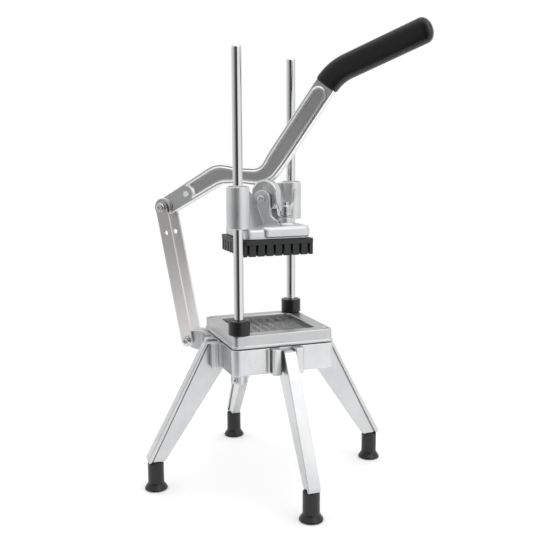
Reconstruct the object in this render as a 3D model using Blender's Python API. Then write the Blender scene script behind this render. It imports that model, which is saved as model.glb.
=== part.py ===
"""Lever-operated vegetable dicer, modelled piece by piece in metres with +Z up.

A square skirt on four splayed legs carries a blade frame. Two guide rods rise from opposite corners
of the square. A head slides on them and pushes a slotted block through two crossed sets of blades.
A cranked lever is hinged on the head. Its short arm is tied to the base by a pair of flat link bars.

The square is set cornerwise: the rods stand on the X axis, the lever swings in the YZ plane, the
handle points to -Y and the link bars stand on the +Y side. DICER_Y sets the rods back, so that the
origin lies on the floor under the middle of the whole part.
"""

import math

import bmesh
import bpy
import numpy as np
from mathutils import Matrix, Vector

MM = 0.001
GAP = 0.3 * MM
DICER_Y = 23.94 * MM
TURN = math.radians(-45)

# Base: a skirt with a drop chute, four legs and rubber feet.
SKIRT_HALF = 66.9 * MM
SKIRT_CORNER = 9 * MM
SKIRT_LOW = 155.7 * MM
SKIRT_TOP = 187.4 * MM
DECK_THICKNESS = 6 * MM
WALL = 5.5 * MM
CHUTE_HALF = 49 * MM
CHEEK_INNER = 8.3 * MM
CHEEK_OUTER = 20 * MM
CHEEK_REACH = 80 * MM
BOSS_RADIUS = 10.8 * MM
BOSS_LOW = 145.5 * MM
FOOT_CIRCLE = 151 * MM
FOOT_TOP = 36 * MM
FOOT_RADIUS = 10.3 * MM
FOOT_FLANGE = 14.7 * MM
PEG_RADIUS = 6 * MM
LEG_HALF = 6 * MM
LEG_FLANGE_HALF = 7.8 * MM
LEG_BOLT_Z = 171 * MM

# Blade frame and its two crossed sets of blades.
FRAME_HALF = 64.9 * MM
FRAME_CORNER = 6 * MM
FRAME_LOW = SKIRT_TOP + GAP
FRAME_TOP = 205 * MM
FRAME_OPENING = 48.6 * MM
OPENING_CORNER = 8 * MM
BLADE_PITCH = 11.33 * MM
BLADE_COUNT = 8
BLADE_THICKNESS = 1 * MM
BLADE_HEIGHT = 5.9 * MM
BLADE_HALF = 52.6 * MM
LOWER_BLADE_Z = 188.9 * MM
UPPER_BLADE_Z = LOWER_BLADE_Z + BLADE_HEIGHT + GAP
SCREW_REACH = 82 * MM

# Guide rods, with a rubber stop at the foot of each.
ROD_X = 78.2 * MM
ROD_RADIUS = 6 * MM
ROD_LOW = 146 * MM
ROD_TOP = 548 * MM
SET_SCREW_Z = 150.5 * MM
STOP_RADIUS = 13.3 * MM
STOP_TOP = 223.2 * MM

# Head: casting, bushes, pusher block and its stud.
BLOCK_HALF = 42.8 * MM
BLOCK_LOW = 318.3 * MM
BLOCK_TOP = 332 * MM
SLEEVE_RADIUS = 13.8 * MM
SLEEVE_LOW = 334 * MM
SLEEVE_TOP = 384 * MM
BUSH_RADIUS = 8.4 * MM
EAR_INNER = 8 * MM
EAR_OUTER = 14 * MM
EAR_RADIUS = 11.2 * MM
STUD_Y = -27 * MM
STUD_RADIUS = 4 * MM
PUSHER_HALF = 46.9 * MM
FINGER_HALF = 45.9 * MM
PUSHER_LOW = 298 * MM
PUSHER_TOP = 318 * MM
PUSHER_BAND = 5.8 * MM
SLOT_WIDTH = 3 * MM
SLOT_TOP = 312.2 * MM

# Lever linkage, as (y, z) points of the lever's plane.
FULCRUM = (0.0, 366 * MM)
REAR_PIVOT = (149.5 * MM, 351 * MM)
LOW_PIVOT = (113.5 * MM, 172 * MM)
PIN_RADIUS = 4 * MM
LEVER_HALF = 6 * MM
POCKET_DEPTH = 2.8 * MM
LEVER_RIM = 5.3 * MM
HUB_RADIUS = 18 * MM
HUB_HALF = EAR_INNER - GAP
REAR_HUB_RADIUS = 12.4 * MM
BAR_INNER = 10 * MM
BAR_OUTER = 13.5 * MM
BAR_HALF = 8.6 * MM
GRIP_WIDTH_HALF = 15.1 * MM
GRIP_THICK_HALF = 8.4 * MM
CORE_HALF = 11.4 * MM

CASTING = ("cast_aluminium", (0.62, 0.63, 0.65), 0.35, 1.0)
CHROME = ("chromed_steel", (0.72, 0.73, 0.75), 0.12, 1.0)
STAINLESS = ("stainless_steel", (0.6, 0.6, 0.59), 0.3, 1.0)
RUBBER = ("black_rubber", (0.02, 0.02, 0.022), 0.7, 0.0)
PLASTIC = ("black_plastic", (0.03, 0.032, 0.034), 0.5, 0.0)
VINYL = ("dipped_vinyl", (0.015, 0.015, 0.016), 0.45, 0.0)
NYLON = ("white_nylon", (0.8, 0.8, 0.78), 0.5, 0.0)
ZINC = ("zinc_plated_steel", (0.55, 0.56, 0.58), 0.3, 1.0)


def clear_scene():
    """Empties the scene of every object."""
    for obj in list(bpy.data.objects):
        bpy.data.objects.remove(obj)


def material(owner, finish):
    """The Principled material of one sub-part, from its finish."""
    name, colour, roughness, metallic = finish
    made = bpy.data.materials.new(f"{owner}_{name}")
    made.use_nodes = True
    shader = made.node_tree.nodes["Principled BSDF"]
    shader.inputs["Base Color"].default_value = (*colour, 1.0)
    shader.inputs["Roughness"].default_value = roughness
    shader.inputs["Metallic"].default_value = metallic
    return made


def frame_empty(name, parent=None, location=(0, 0, 0)):
    """An empty that carries a body; it stands on that body's joint axis."""
    obj = bpy.data.objects.new(name, None)
    obj.empty_display_size = 0.02
    obj.parent = parent
    obj.location = location
    bpy.context.scene.collection.objects.link(obj)
    return obj


def piece(name, mesh, finish, body, angle=0.0):
    """A named sub-part. Meshes are drawn about the rods' mid-plane, so a body's offset is taken off."""
    obj = bpy.data.objects.new(name, mesh)
    obj.parent = body
    offset = Vector((0, 0, 0)) if body.parent is None else body.location
    obj.location = -Vector(offset)
    obj.rotation_euler.z = angle
    if not mesh.materials:
        mesh.materials.append(material(name, finish))
    mesh.shade_smooth()
    mesh.set_sharp_from_angle(angle=math.radians(30))
    bpy.context.scene.collection.objects.link(obj)
    return obj


def finish_mesh(work, name):
    """Welds, turns the faces outwards and hands back a mesh."""
    bmesh.ops.remove_doubles(work, verts=work.verts, dist=1e-7)
    bmesh.ops.recalc_face_normals(work, faces=work.faces)
    mesh = bpy.data.meshes.new(name)
    work.to_mesh(mesh)
    work.free()
    return mesh


def prism(outline, low, high, axis="Z"):
    """Extrudes a closed outline. Along Z it is read as (x, y), along X as (y, z)."""
    work = bmesh.new()
    rings = []
    for level in (low, high):
        if axis == "Z":
            rings.append([work.verts.new((a, b, level)) for a, b in outline])
        else:
            rings.append([work.verts.new((level, a, b)) for a, b in outline])
    work.faces.new(rings[0])
    work.faces.new(rings[1])
    count = len(outline)
    for i in range(count):
        j = (i + 1) % count
        work.faces.new((rings[0][i], rings[0][j], rings[1][j], rings[1][i]))
    return finish_mesh(work, "prism")


def turned(profile, segments, centre=(0, 0, 0), axis="Z"):
    """Turns a profile of (radius, height) points about an axis through centre.

    A profile that starts and ends at radius 0 closes on the axis; any other closes on itself.
    """
    work = bmesh.new()
    rings = []
    for radius, height in profile:
        if radius == 0:
            rings.append([work.verts.new((0, 0, height))])
            continue
        ring = []
        for i in range(segments):
            angle = 2 * math.pi * (i + 0.5) / segments
            ring.append(work.verts.new((radius * math.cos(angle), radius * math.sin(angle), height)))
        rings.append(ring)
    if profile[0][0] > 0:
        rings.append(rings[0])
    for lower, upper in zip(rings, rings[1:]):
        for i in range(segments):
            j = (i + 1) % segments
            corners = [lower[i % len(lower)], lower[j % len(lower)]]
            corners += [upper[j % len(upper)], upper[i % len(upper)]]
            work.faces.new(dict.fromkeys(corners))
    turn = Matrix.Identity(4)
    if axis == "X":
        turn = Matrix.Rotation(math.radians(90), 4, "Y")
    if isinstance(axis, float):
        turn = Matrix.Rotation(axis, 4, "Z") @ Matrix.Rotation(math.radians(90), 4, "Y")
    bmesh.ops.transform(work, matrix=Matrix.Translation(centre) @ turn, verts=work.verts)
    return finish_mesh(work, "turned")


def cylinder(radius, low, high, segments, centre=(0, 0, 0), axis="Z"):
    """A plain round bar between two heights along its axis."""
    profile = [(0, low), (radius, low), (radius, high), (0, high)]
    return turned(profile, segments, centre, axis)


def ring(inner, outer, low, high, segments, centre=(0, 0, 0), axis="Z"):
    """A washer or a tube between two heights along its axis."""
    profile = [(inner, low), (outer, low), (outer, high), (inner, high)]
    return turned(profile, segments, centre, axis)


def joined(meshes):
    """Several separate solids in one mesh, for use as a cutter."""
    work = bmesh.new()
    for mesh in meshes:
        work.from_mesh(mesh)
    return finish_mesh(work, "joined")


def combined(base, steps):
    """Applies Boolean steps of (operation, mesh) to a base mesh, with the exact solver."""
    scene = bpy.context.scene.collection
    target = bpy.data.objects.new("target", base)
    scene.objects.link(target)
    tools = []
    for operation, mesh in steps:
        tool = bpy.data.objects.new("tool", mesh)
        tool.hide_render = True
        scene.objects.link(tool)
        tools.append(tool)
        modifier = target.modifiers.new(operation, "BOOLEAN")
        modifier.operation = operation
        modifier.solver = "EXACT"
        modifier.object = tool
    graph = bpy.context.evaluated_depsgraph_get()
    result = bpy.data.meshes.new_from_object(target.evaluated_get(graph))
    for obj in [target, *tools]:
        bpy.data.objects.remove(obj)
    work = bmesh.new()
    work.from_mesh(result)
    bmesh.ops.dissolve_degenerate(work, edges=work.edges, dist=1e-6)
    return finish_mesh(work, "combined")


def rotated(points, angle):
    """Plan points turned about the origin."""
    c = math.cos(angle)
    s = math.sin(angle)
    return [(c * x - s * y, s * x + c * y) for x, y in points]


def fillet(before, corner, after, radius, steps):
    """Arc points that round one corner of a polyline."""
    corner = Vector(corner)
    arms = [(Vector(before) - corner).normalized(), (Vector(after) - corner).normalized()]
    half = arms[0].angle(arms[1]) / 2
    reach = radius / math.tan(half)
    start = corner + arms[0] * reach
    end = corner + arms[1] * reach
    centre = corner + (arms[0] + arms[1]).normalized() * radius / math.sin(half)
    first = start - centre
    sweep = math.pi - 2 * half
    side = 1 if first.x * (end - centre).y - first.y * (end - centre).x > 0 else -1
    points = []
    for i in range(steps + 1):
        angle = side * sweep * i / steps
        c = math.cos(angle)
        s = math.sin(angle)
        points.append((centre.x + c * first.x - s * first.y, centre.y + s * first.x + c * first.y))
    return points


def rounded(corners, radii, steps=5):
    """A closed outline with its corners rounded; a radius of 0 leaves a corner sharp."""
    count = len(corners)
    points = []
    for i in range(count):
        if radii[i] == 0:
            points.append(corners[i])
            continue
        points += fillet(corners[i - 1], corners[i], corners[(i + 1) % count], radii[i], steps)
    return points


def square(half, radius, steps=5):
    """A square with rounded corners, set cornerwise on the X and Y axes."""
    corners = [(half, half), (-half, half), (-half, -half), (half, -half)]
    return rotated(rounded(corners, [radius] * 4, steps), TURN)


def bored(mesh, holes):
    """Cuts a group of holes out of a mesh."""
    return combined(mesh, [("DIFFERENCE", joined(holes))])


def hex_outline(across_flats):
    """A hexagon given by its width across the flats."""
    radius = across_flats / math.sqrt(3)
    return [(radius * math.cos(math.pi * k / 3), radius * math.sin(math.pi * k / 3)) for k in range(6)]


def at_pivot(pivot, outline):
    """Shifts a (y, z) outline to a pivot."""
    return [(pivot[0] + a, pivot[1] + b) for a, b in outline]


def cheek_outline():
    """One side of the skirt in plan, with the two cheeks that grip a leg."""
    chamfer = 2 * MM
    points = []
    for near, far in ((-CHEEK_OUTER, -CHEEK_INNER), (CHEEK_INNER, CHEEK_OUTER)):
        points.append((SKIRT_HALF, near))
        points.append((CHEEK_REACH - chamfer, near))
        points.append((CHEEK_REACH, near + chamfer))
        points.append((CHEEK_REACH, far - chamfer))
        points.append((CHEEK_REACH - chamfer, far))
        points.append((SKIRT_HALF, far))
    return points


def make_skirt(base):
    """The square casting under the blade frame: deck, walls, leg cheeks and rod bosses."""
    outline = []
    for side in range(4):
        turn = side * math.pi / 2
        outline += rotated(cheek_outline(), turn)
        corner = [(SKIRT_HALF, CHEEK_OUTER), (SKIRT_HALF, SKIRT_HALF), (CHEEK_OUTER, SKIRT_HALF)]
        outline += rotated(fillet(*corner, SKIRT_CORNER, 6), turn)
    body = prism(rotated(outline, TURN), SKIRT_LOW, SKIRT_TOP)
    inner = SKIRT_HALF - WALL
    corner_cut = 22 * MM
    cavity = rotated(
        [
            (inner, -inner + corner_cut),
            (inner, inner - corner_cut),
            (inner - corner_cut, inner),
            (-inner + corner_cut, inner),
            (-inner, inner - corner_cut),
            (-inner, -inner + corner_cut),
            (-inner + corner_cut, -inner),
            (inner - corner_cut, -inner),
        ],
        TURN,
    )
    steps = []
    for side in (-1, 1):
        boss = cylinder(BOSS_RADIUS, BOSS_LOW, SKIRT_LOW + WALL, 24, (side * ROD_X, 0, 0))
        steps.append(("UNION", boss))
    steps.append(("DIFFERENCE", prism(cavity, SKIRT_LOW - WALL, SKIRT_TOP - DECK_THICKNESS)))
    steps.append(("DIFFERENCE", prism(square(CHUTE_HALF, OPENING_CORNER), SKIRT_LOW, SKIRT_TOP + WALL)))
    bore = ROD_RADIUS + GAP
    screw = 2.4 * MM
    holes = []
    for side in (-1, 1):
        holes.append(cylinder(bore, BOSS_LOW - WALL, SKIRT_TOP + WALL, 24, (side * ROD_X, 0, 0)))
        place = (side * ROD_X, 0, SET_SCREW_Z)
        holes.append(cylinder(3.1 * MM, 3 * MM, 14 * MM, 16, place, set_screw_axis(side)))
        holes.append(cylinder(screw, SKIRT_LOW + WALL, SKIRT_TOP + WALL, 16, (0, side * SCREW_REACH, 0)))
        place = bracket_screw_place(side)
        holes.append(cylinder(screw, -12 * MM, 3 * MM, 16, place, bracket_screw_axis(side)))
    for leg in range(4):
        angle = TURN + leg * math.pi / 2
        holes.append(cylinder(3.3 * MM, inner - WALL, SKIRT_HALF + WALL, 16, (0, 0, LEG_BOLT_Z), angle))
    steps.append(("DIFFERENCE", joined(holes)))
    piece("base_skirt", combined(body, steps), CASTING, base)


def set_screw_axis(side):
    """Turn about Z that points a set screw away from the chute along X."""
    return 0.0 if side > 0 else math.pi


def bracket_screw_axis(side):
    """Turn about Z that points a bracket screw square out of its side of the rear corner."""
    return math.radians(90) - side * math.radians(45)


def bracket_screw_place(side):
    """Where a bracket screw's axis leaves the skirt."""
    along = 15 * MM
    return (side * along, SKIRT_HALF * math.sqrt(2) - along, 173 * MM)


def leg_mesh():
    """A tapered leg of T section with a peg for its foot, drawn along +X."""
    outer_top = (84.5 * MM, SKIRT_TOP - 2 * MM)
    outer_low = (162 * MM, FOOT_TOP + 4 * MM)
    foot_edge = 11 * MM
    floor = FOOT_TOP + GAP
    web = [
        outer_top,
        (SKIRT_HALF + GAP, SKIRT_TOP - 2 * MM),
        (SKIRT_HALF + GAP, SKIRT_LOW - GAP),
        (60.5 * MM, SKIRT_LOW - GAP),
        (60.5 * MM, 152 * MM),
        (FOOT_CIRCLE - foot_edge, floor),
        (FOOT_CIRCLE + foot_edge - 1 * MM, floor),
        outer_low,
    ]
    flange_depth = 3.4 * MM
    flange = [
        outer_top,
        (outer_top[0] - flange_depth, outer_top[1]),
        (FOOT_CIRCLE + foot_edge - flange_depth - 1 * MM, floor),
        (FOOT_CIRCLE + foot_edge - 1 * MM, floor),
        outer_low,
    ]
    turn = Matrix.Rotation(math.radians(-90), 4, "Z")
    meshes = []
    for outline, half in ((web, LEG_HALF), (flange, LEG_FLANGE_HALF)):
        mesh = prism(outline, -half, half, "X")
        mesh.transform(turn)
        meshes.append(mesh)
    peg = cylinder(PEG_RADIUS, 12 * MM, FOOT_TOP + 4 * MM, 24, (FOOT_CIRCLE, 0, 0))
    hole = cylinder(3.3 * MM, SKIRT_HALF - WALL, 80 * MM, 16, (0, 0, LEG_BOLT_Z), "X")
    return combined(meshes[0], [("UNION", meshes[1]), ("UNION", peg), ("DIFFERENCE", hole)])


def foot_mesh():
    """A flared rubber foot with a blind bore for the leg's peg."""
    bore = PEG_RADIUS + GAP
    profile = [
        (0, 0),
        (FOOT_FLANGE - 1 * MM, 0),
        (FOOT_FLANGE, 1 * MM),
        (FOOT_FLANGE, 3.5 * MM),
        (FOOT_FLANGE - 2.2 * MM, 6 * MM),
        (FOOT_RADIUS + 0.6 * MM, 9.5 * MM),
        (FOOT_RADIUS, 13 * MM),
        (FOOT_RADIUS - 0.5 * MM, FOOT_TOP - 1.5 * MM),
        (FOOT_RADIUS - 1.8 * MM, FOOT_TOP),
        (bore, FOOT_TOP),
        (bore, 12 * MM - GAP),
        (0, 12 * MM - GAP),
    ]
    return turned(profile, 24, (FOOT_CIRCLE, 0, 0))


def bolt_mesh(head_radius, head_low, seat, shank_radius, tip, segments, centre, axis):
    """A cheese-headed bolt with a hexagon socket, given by positions along its axis."""
    socket = head_radius * 0.45
    depth = (seat - head_low) * 0.5
    edge = (seat - head_low) * 0.12
    profile = [
        (0, head_low + depth),
        (socket, head_low + depth),
        (socket, head_low),
        (head_radius - abs(edge), head_low),
        (head_radius, head_low + edge),
        (head_radius, seat),
        (shank_radius, seat),
        (shank_radius, tip),
        (0, tip),
    ]
    return turned(profile, segments, centre, axis)


def make_legs(base):
    """Four legs, their feet and the bolts that hold them from inside the skirt."""
    leg = leg_mesh()
    foot = foot_mesh()
    seat = SKIRT_HALF - WALL - GAP
    bolt = bolt_mesh(6 * MM, seat - 4.5 * MM, seat, 3 * MM, 79.5 * MM, 12, (0, 0, LEG_BOLT_Z), "X")
    for k in range(4):
        angle = TURN + k * math.pi / 2
        piece(f"leg_{k + 1}", leg, CASTING, base, angle)
        piece(f"foot_{k + 1}", foot, RUBBER, base, angle)
        piece(f"leg_bolt_{k + 1}", bolt, ZINC, base, angle)


def make_frame(base):
    """The cast blade frame, grooved inside for the blade ends, and its two screws."""
    body = prism(square(FRAME_HALF, FRAME_CORNER, 6), FRAME_LOW, FRAME_TOP)
    opening = prism(square(FRAME_OPENING, OPENING_CORNER, 6), FRAME_LOW - WALL, FRAME_TOP + WALL)
    holes = []
    for side in (-1, 1):
        rod = (side * ROD_X, 0, 0)
        screw = (0, side * SCREW_REACH, 0)
        holes.append(cylinder(ROD_RADIUS + GAP, FRAME_LOW - WALL, FRAME_TOP + WALL, 24, rod))
        holes.append(cylinder(2.4 * MM, FRAME_LOW - WALL, FRAME_TOP - 2 * MM, 16, screw))
    sinks = []
    for side in (-1, 1):
        place = (0, side * SCREW_REACH, 0)
        sinks.append(cylinder(4.5 * MM, FRAME_TOP - 3 * MM, FRAME_TOP + WALL, 24, place))
    steps = [("DIFFERENCE", opening), ("DIFFERENCE", joined(holes)), ("DIFFERENCE", joined(sinks))]
    for low, turn in ((LOWER_BLADE_Z, TURN), (UPPER_BLADE_Z, TURN + math.pi / 2)):
        grooves = [blade_box(k, low, turn, GAP) for k in range(BLADE_COUNT)]
        steps.append(("DIFFERENCE", joined(grooves)))
    piece("blade_frame", combined(body, steps), CASTING, base)
    for k in range(BLADE_COUNT):
        piece(f"lower_blade_{k + 1}", blade_box(k, LOWER_BLADE_Z, TURN, 0), STAINLESS, base)
        piece(f"upper_blade_{k + 1}", blade_box(k, UPPER_BLADE_Z, TURN + math.pi / 2, 0), STAINLESS, base)
    for name, side in (("front", -1), ("rear", 1)):
        profile = [
            (0, 170 * MM),
            (2.1 * MM, 170 * MM),
            (2.1 * MM, FRAME_TOP - 2.7 * MM),
            (4.2 * MM, FRAME_TOP - 2.7 * MM),
            (4.2 * MM, FRAME_TOP - 0.9 * MM),
            (3.2 * MM, FRAME_TOP - 0.4 * MM),
            (1.6 * MM, FRAME_TOP - 0.4 * MM),
            (1.6 * MM, FRAME_TOP - 1.6 * MM),
            (0, FRAME_TOP - 1.6 * MM),
        ]
        piece(f"frame_screw_{name}", turned(profile, 16, (0, side * SCREW_REACH, 0)), ZINC, base)


def strip_outline(reach, centre, half):
    """A long rectangle along X, set off sideways by centre."""
    return [(-reach, centre - half), (reach, centre - half), (reach, centre + half), (-reach, centre + half)]


def blade_box(index, low, turn, clearance):
    """One flat blade on edge, or with a clearance the groove that holds its ends."""
    centre = (index - (BLADE_COUNT - 1) / 2) * BLADE_PITCH
    half = BLADE_THICKNESS / 2 + clearance
    reach = BLADE_HALF + clearance
    edge = 0 if clearance else BLADE_THICKNESS * 0.35
    corners = strip_outline(reach, centre, half)
    box = prism(rotated(corners, turn), low - clearance, low + BLADE_HEIGHT + clearance)
    if edge:
        ridge = rotated([(-reach, centre), (reach, centre)], turn)
        top = low + BLADE_HEIGHT
        for vertex in box.vertices:
            if abs(vertex.co.z - top) < 1e-6:
                flat = Vector((vertex.co.x, vertex.co.y))
                ends = [Vector(end) for end in ridge]
                nearest = min(ends, key=lambda end: (end - flat).length)
                vertex.co.xy = nearest + (flat - nearest) * (1 - 2 * edge / BLADE_THICKNESS)
    return box


def make_rods(base):
    """Two guide rods with domed tops, their set screws and their rubber stops."""
    dome = 2.2 * MM
    for name, side in (("left", -1), ("right", 1)):
        centre = (side * ROD_X, 0, 0)
        profile = [(0, ROD_LOW), (ROD_RADIUS - 1 * MM, ROD_LOW), (ROD_RADIUS, ROD_LOW + 1 * MM)]
        for i in range(3):
            angle = math.pi / 2 * i / 3
            radius = ROD_RADIUS - dome + dome * math.cos(angle)
            profile.append((radius, ROD_TOP - dome + dome * math.sin(angle)))
        profile.append((ROD_RADIUS - dome, ROD_TOP))
        profile.append((0, ROD_TOP))
        piece(f"guide_rod_{name}", turned(profile, 24, centre), CHROME, base)
        stop = [
            (ROD_RADIUS + GAP, FRAME_TOP + GAP),
            (STOP_RADIUS - 0.8 * MM, FRAME_TOP + GAP),
            (STOP_RADIUS, FRAME_TOP + GAP + 0.8 * MM),
            (STOP_RADIUS, STOP_TOP - 1 * MM),
            (STOP_RADIUS - 1 * MM, STOP_TOP),
            (ROD_RADIUS + GAP, STOP_TOP),
        ]
        piece(f"rubber_stop_{name}", turned(stop, 24, centre), RUBBER, base)
        socket = [
            (0, ROD_RADIUS + GAP),
            (2.8 * MM, ROD_RADIUS + GAP),
            (2.8 * MM, 11.6 * MM),
            (1.3 * MM, 11.6 * MM),
            (1.3 * MM, 9 * MM),
            (0, 9 * MM),
        ]
        screw = turned(socket, 16, (side * ROD_X, 0, SET_SCREW_Z), set_screw_axis(side))
        piece(f"rod_set_screw_{name}", screw, ZINC, base)


def make_bracket(base):
    """The rear bracket: a V plate round the skirt's corner with a lug between the link bars."""
    apex = SKIRT_HALF * math.sqrt(2) + GAP * math.sqrt(2)
    plate = 4 * MM * math.sqrt(2)
    spread = 22 * MM
    low = 160.5 * MM
    top = SKIRT_TOP - 1 * MM
    wings = [
        (0, apex),
        (-spread, apex - spread),
        (-spread - plate / 2, apex - spread + plate / 2),
        (-9.5 * MM, apex + plate - 9.5 * MM),
        (-9.5 * MM, apex + 3 * MM),
        (9.5 * MM, apex + 3 * MM),
        (9.5 * MM, apex + plate - 9.5 * MM),
        (spread + plate / 2, apex - spread + plate / 2),
        (spread, apex - spread),
    ]
    lug = []
    for k in range(13):
        angle = math.radians(-100 + 150 * k / 12)
        lug.append((LOW_PIVOT[0] + 9 * MM * math.cos(angle), LOW_PIVOT[1] + 9 * MM * math.sin(angle)))
    lug += [(apex + 9 * MM, top), (apex + 1 * MM, top), (apex + 1 * MM, low), (apex + 8 * MM, low)]
    steps = [("UNION", prism(lug, -BAR_INNER + GAP, BAR_INNER - GAP, "X"))]
    bore = PIN_RADIUS + GAP
    holes = [cylinder(bore, -20 * MM, 20 * MM, 24, (0, *LOW_PIVOT), "X")]
    for side in (-1, 1):
        place = bracket_screw_place(side)
        holes.append(cylinder(2.4 * MM, -2 * MM, 8 * MM, 16, place, bracket_screw_axis(side)))
    steps.append(("DIFFERENCE", joined(holes)))
    piece("link_bracket", combined(prism(wings, low, top), steps), CASTING, base)
    plate_face = 4 * MM + 2 * GAP
    for name, side in (("left", -1), ("right", 1)):
        screw = bolt_mesh(
            4.2 * MM,
            plate_face + 2.6 * MM,
            plate_face,
            2.1 * MM,
            -11 * MM,
            12,
            bracket_screw_place(side),
            bracket_screw_axis(side),
        )
        piece(f"bracket_screw_{name}", screw, ZINC, base)


def pivot_bolt(name, pivot, reach, head, finish, body, tip=None):
    """A pivot bolt across the lever's plane, with its head on the -X side."""
    end = reach + 5.5 * MM if tip is None else tip
    mesh = bolt_mesh(head, -reach - 3.6 * MM, -reach, PIN_RADIUS, end, 20, (0, *pivot), "X")
    piece(name, mesh, finish, body)


def pivot_nut(name, pivot, reach, finish, body, bore=PIN_RADIUS + GAP):
    """A hexagon nut on the +X side of a pivot."""
    nut = prism(at_pivot(pivot, hex_outline(12.5 * MM)), reach, reach + 4.6 * MM, "X")
    hole = cylinder(bore, reach - WALL, reach + 2 * WALL, 24, (0, *pivot), "X")
    piece(name, bored(nut, [hole]), finish, body)


def make_head(head):
    """The sliding head casting with its sleeves, webs, clevis ears and stud boss."""
    body = prism(square(BLOCK_HALF, 7 * MM, 6), BLOCK_LOW, BLOCK_TOP)
    pillow = rounded(
        [(-46 * MM, -17 * MM), (0, -62.6 * MM), (46 * MM, -17 * MM), (20 * MM, 9 * MM), (-20 * MM, 9 * MM)],
        [3 * MM, 9 * MM, 3 * MM, 3 * MM, 3 * MM],
    )
    steps = [("UNION", prism(pillow, BLOCK_LOW + 2.5 * MM, BLOCK_TOP + 1.6 * MM))]
    ear = []
    for k in range(13):
        angle = math.pi * k / 12
        ear.append((FULCRUM[0] + EAR_RADIUS * math.cos(angle), FULCRUM[1] + EAR_RADIUS * math.sin(angle)))
    ear += [(-EAR_RADIUS, 347 * MM), (-13.5 * MM, 340 * MM), (-20 * MM, 334.5 * MM), (-20 * MM, 328 * MM)]
    ear += [(EAR_RADIUS, 328 * MM)]
    web_side = [(-5 * MM, 329 * MM), (12 * MM, 329 * MM), (12 * MM, SLEEVE_TOP), (7.4 * MM, SLEEVE_TOP)]
    for side in (-1, 1):
        span = sorted((side * (EAR_OUTER - 1 * MM), side * (ROD_X - 10 * MM)))
        web = prism(web_side, *span, "X")
        shave = [
            (side * 12 * MM, 372 * MM),
            (side * 62 * MM, 383 * MM),
            (side * 62 * MM, 392 * MM),
            (side * 12 * MM, 392 * MM),
        ]
        relief = [
            (side * 57.5 * MM, 322 * MM),
            (side * 72 * MM, 322 * MM),
            (side * 72 * MM, SLEEVE_LOW),
            (side * 63 * MM, SLEEVE_LOW),
            (side * 57.5 * MM, BLOCK_TOP - 1 * MM),
        ]
        trims = []
        for outline in (shave, relief):
            trim = prism(outline, -30 * MM, 30 * MM, "X")
            trim.transform(Matrix.Rotation(math.radians(-90), 4, "Z"))
            trims.append(trim)
        steps.append(("UNION", combined(web, [("DIFFERENCE", joined(trims))])))
        steps.append(("UNION", prism(ear, *sorted((side * EAR_INNER, side * EAR_OUTER)), "X")))
        steps.append(("UNION", cylinder(SLEEVE_RADIUS, SLEEVE_LOW, SLEEVE_TOP, 32, (side * ROD_X, 0, 0))))
    steps.append(("UNION", cylinder(9 * MM, BLOCK_TOP - 3 * MM, 343 * MM, 24, (0, STUD_Y, 0))))
    holes = [cylinder(PIN_RADIUS + GAP, -20 * MM, 20 * MM, 24, (0, *FULCRUM), "X")]
    holes.append(cylinder(STUD_RADIUS + GAP, BLOCK_LOW - WALL, 350 * MM, 24, (0, STUD_Y, 0)))
    holes.append(cylinder(STUD_RADIUS + GAP, BLOCK_LOW - WALL, BLOCK_LOW + 8 * MM, 24, (0, -STUD_Y, 0)))
    for side in (-1, 1):
        rod = (side * ROD_X, 0, 0)
        holes.append(cylinder(BUSH_RADIUS + GAP, SLEEVE_LOW - WALL, SLEEVE_TOP + WALL, 24, rod))
        spot_face = sorted((side * EAR_OUTER, side * (EAR_OUTER + 7 * MM)))
        steps.append(("DIFFERENCE", cylinder(8 * MM, *spot_face, 24, (0, *FULCRUM), "X")))
    steps.append(("DIFFERENCE", joined(holes)))
    piece("head_casting", combined(body, steps), CASTING, head)
    for name, side in (("left", -1), ("right", 1)):
        bore = ROD_RADIUS + GAP
        bush = [
            (bore, SLEEVE_LOW + 0.5 * MM),
            (BUSH_RADIUS, SLEEVE_LOW + 0.5 * MM),
            (BUSH_RADIUS, SLEEVE_TOP + GAP),
            (11.5 * MM, SLEEVE_TOP + GAP),
            (11.5 * MM, SLEEVE_TOP + 1.4 * MM),
            (bore, SLEEVE_TOP + 1.4 * MM),
        ]
        piece(f"guide_bush_{name}", turned(bush, 24, (side * ROD_X, 0, 0)), NYLON, head)


def make_pusher(head):
    """The slotted pusher block, the stud that holds it and the pin that keeps it square."""
    band = prism(square(PUSHER_HALF, 5 * MM, 4), PUSHER_TOP - PUSHER_BAND, PUSHER_TOP)
    fingers = prism(square(FINGER_HALF, 1.5 * MM, 3), PUSHER_LOW, PUSHER_TOP - PUSHER_BAND / 2)
    holes = []
    for place in (STUD_Y, -STUD_Y):
        holes.append(cylinder(STUD_RADIUS + GAP, 313.4 * MM, PUSHER_TOP + WALL, 20, (0, place, 0)))
    steps = [("UNION", fingers), ("DIFFERENCE", joined(holes))]
    half = SLOT_WIDTH / 2
    reach = PUSHER_HALF + WALL
    for turn in (TURN, TURN + math.pi / 2):
        slots = []
        for k in range(BLADE_COUNT):
            centre = (k - (BLADE_COUNT - 1) / 2) * BLADE_PITCH
            corners = strip_outline(reach, centre, half)
            slots.append(prism(rotated(corners, turn), PUSHER_LOW - WALL, SLOT_TOP))
        steps.append(("DIFFERENCE", joined(slots)))
    piece("pusher_block", combined(band, steps), PLASTIC, head)
    stud = cylinder(STUD_RADIUS, 313.7 * MM, 362 * MM, 20, (0, STUD_Y, 0))
    piece("pusher_stud", stud, ZINC, head)
    pin = cylinder(STUD_RADIUS, 313.7 * MM, BLOCK_LOW + 7.5 * MM, 20, (0, -STUD_Y, 0))
    piece("pusher_locating_pin", pin, ZINC, head)
    washer = ring(STUD_RADIUS + GAP, 8.6 * MM, 343.3 * MM, 344.7 * MM, 24, (0, STUD_Y, 0))
    piece("stud_washer", washer, ZINC, head)


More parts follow.
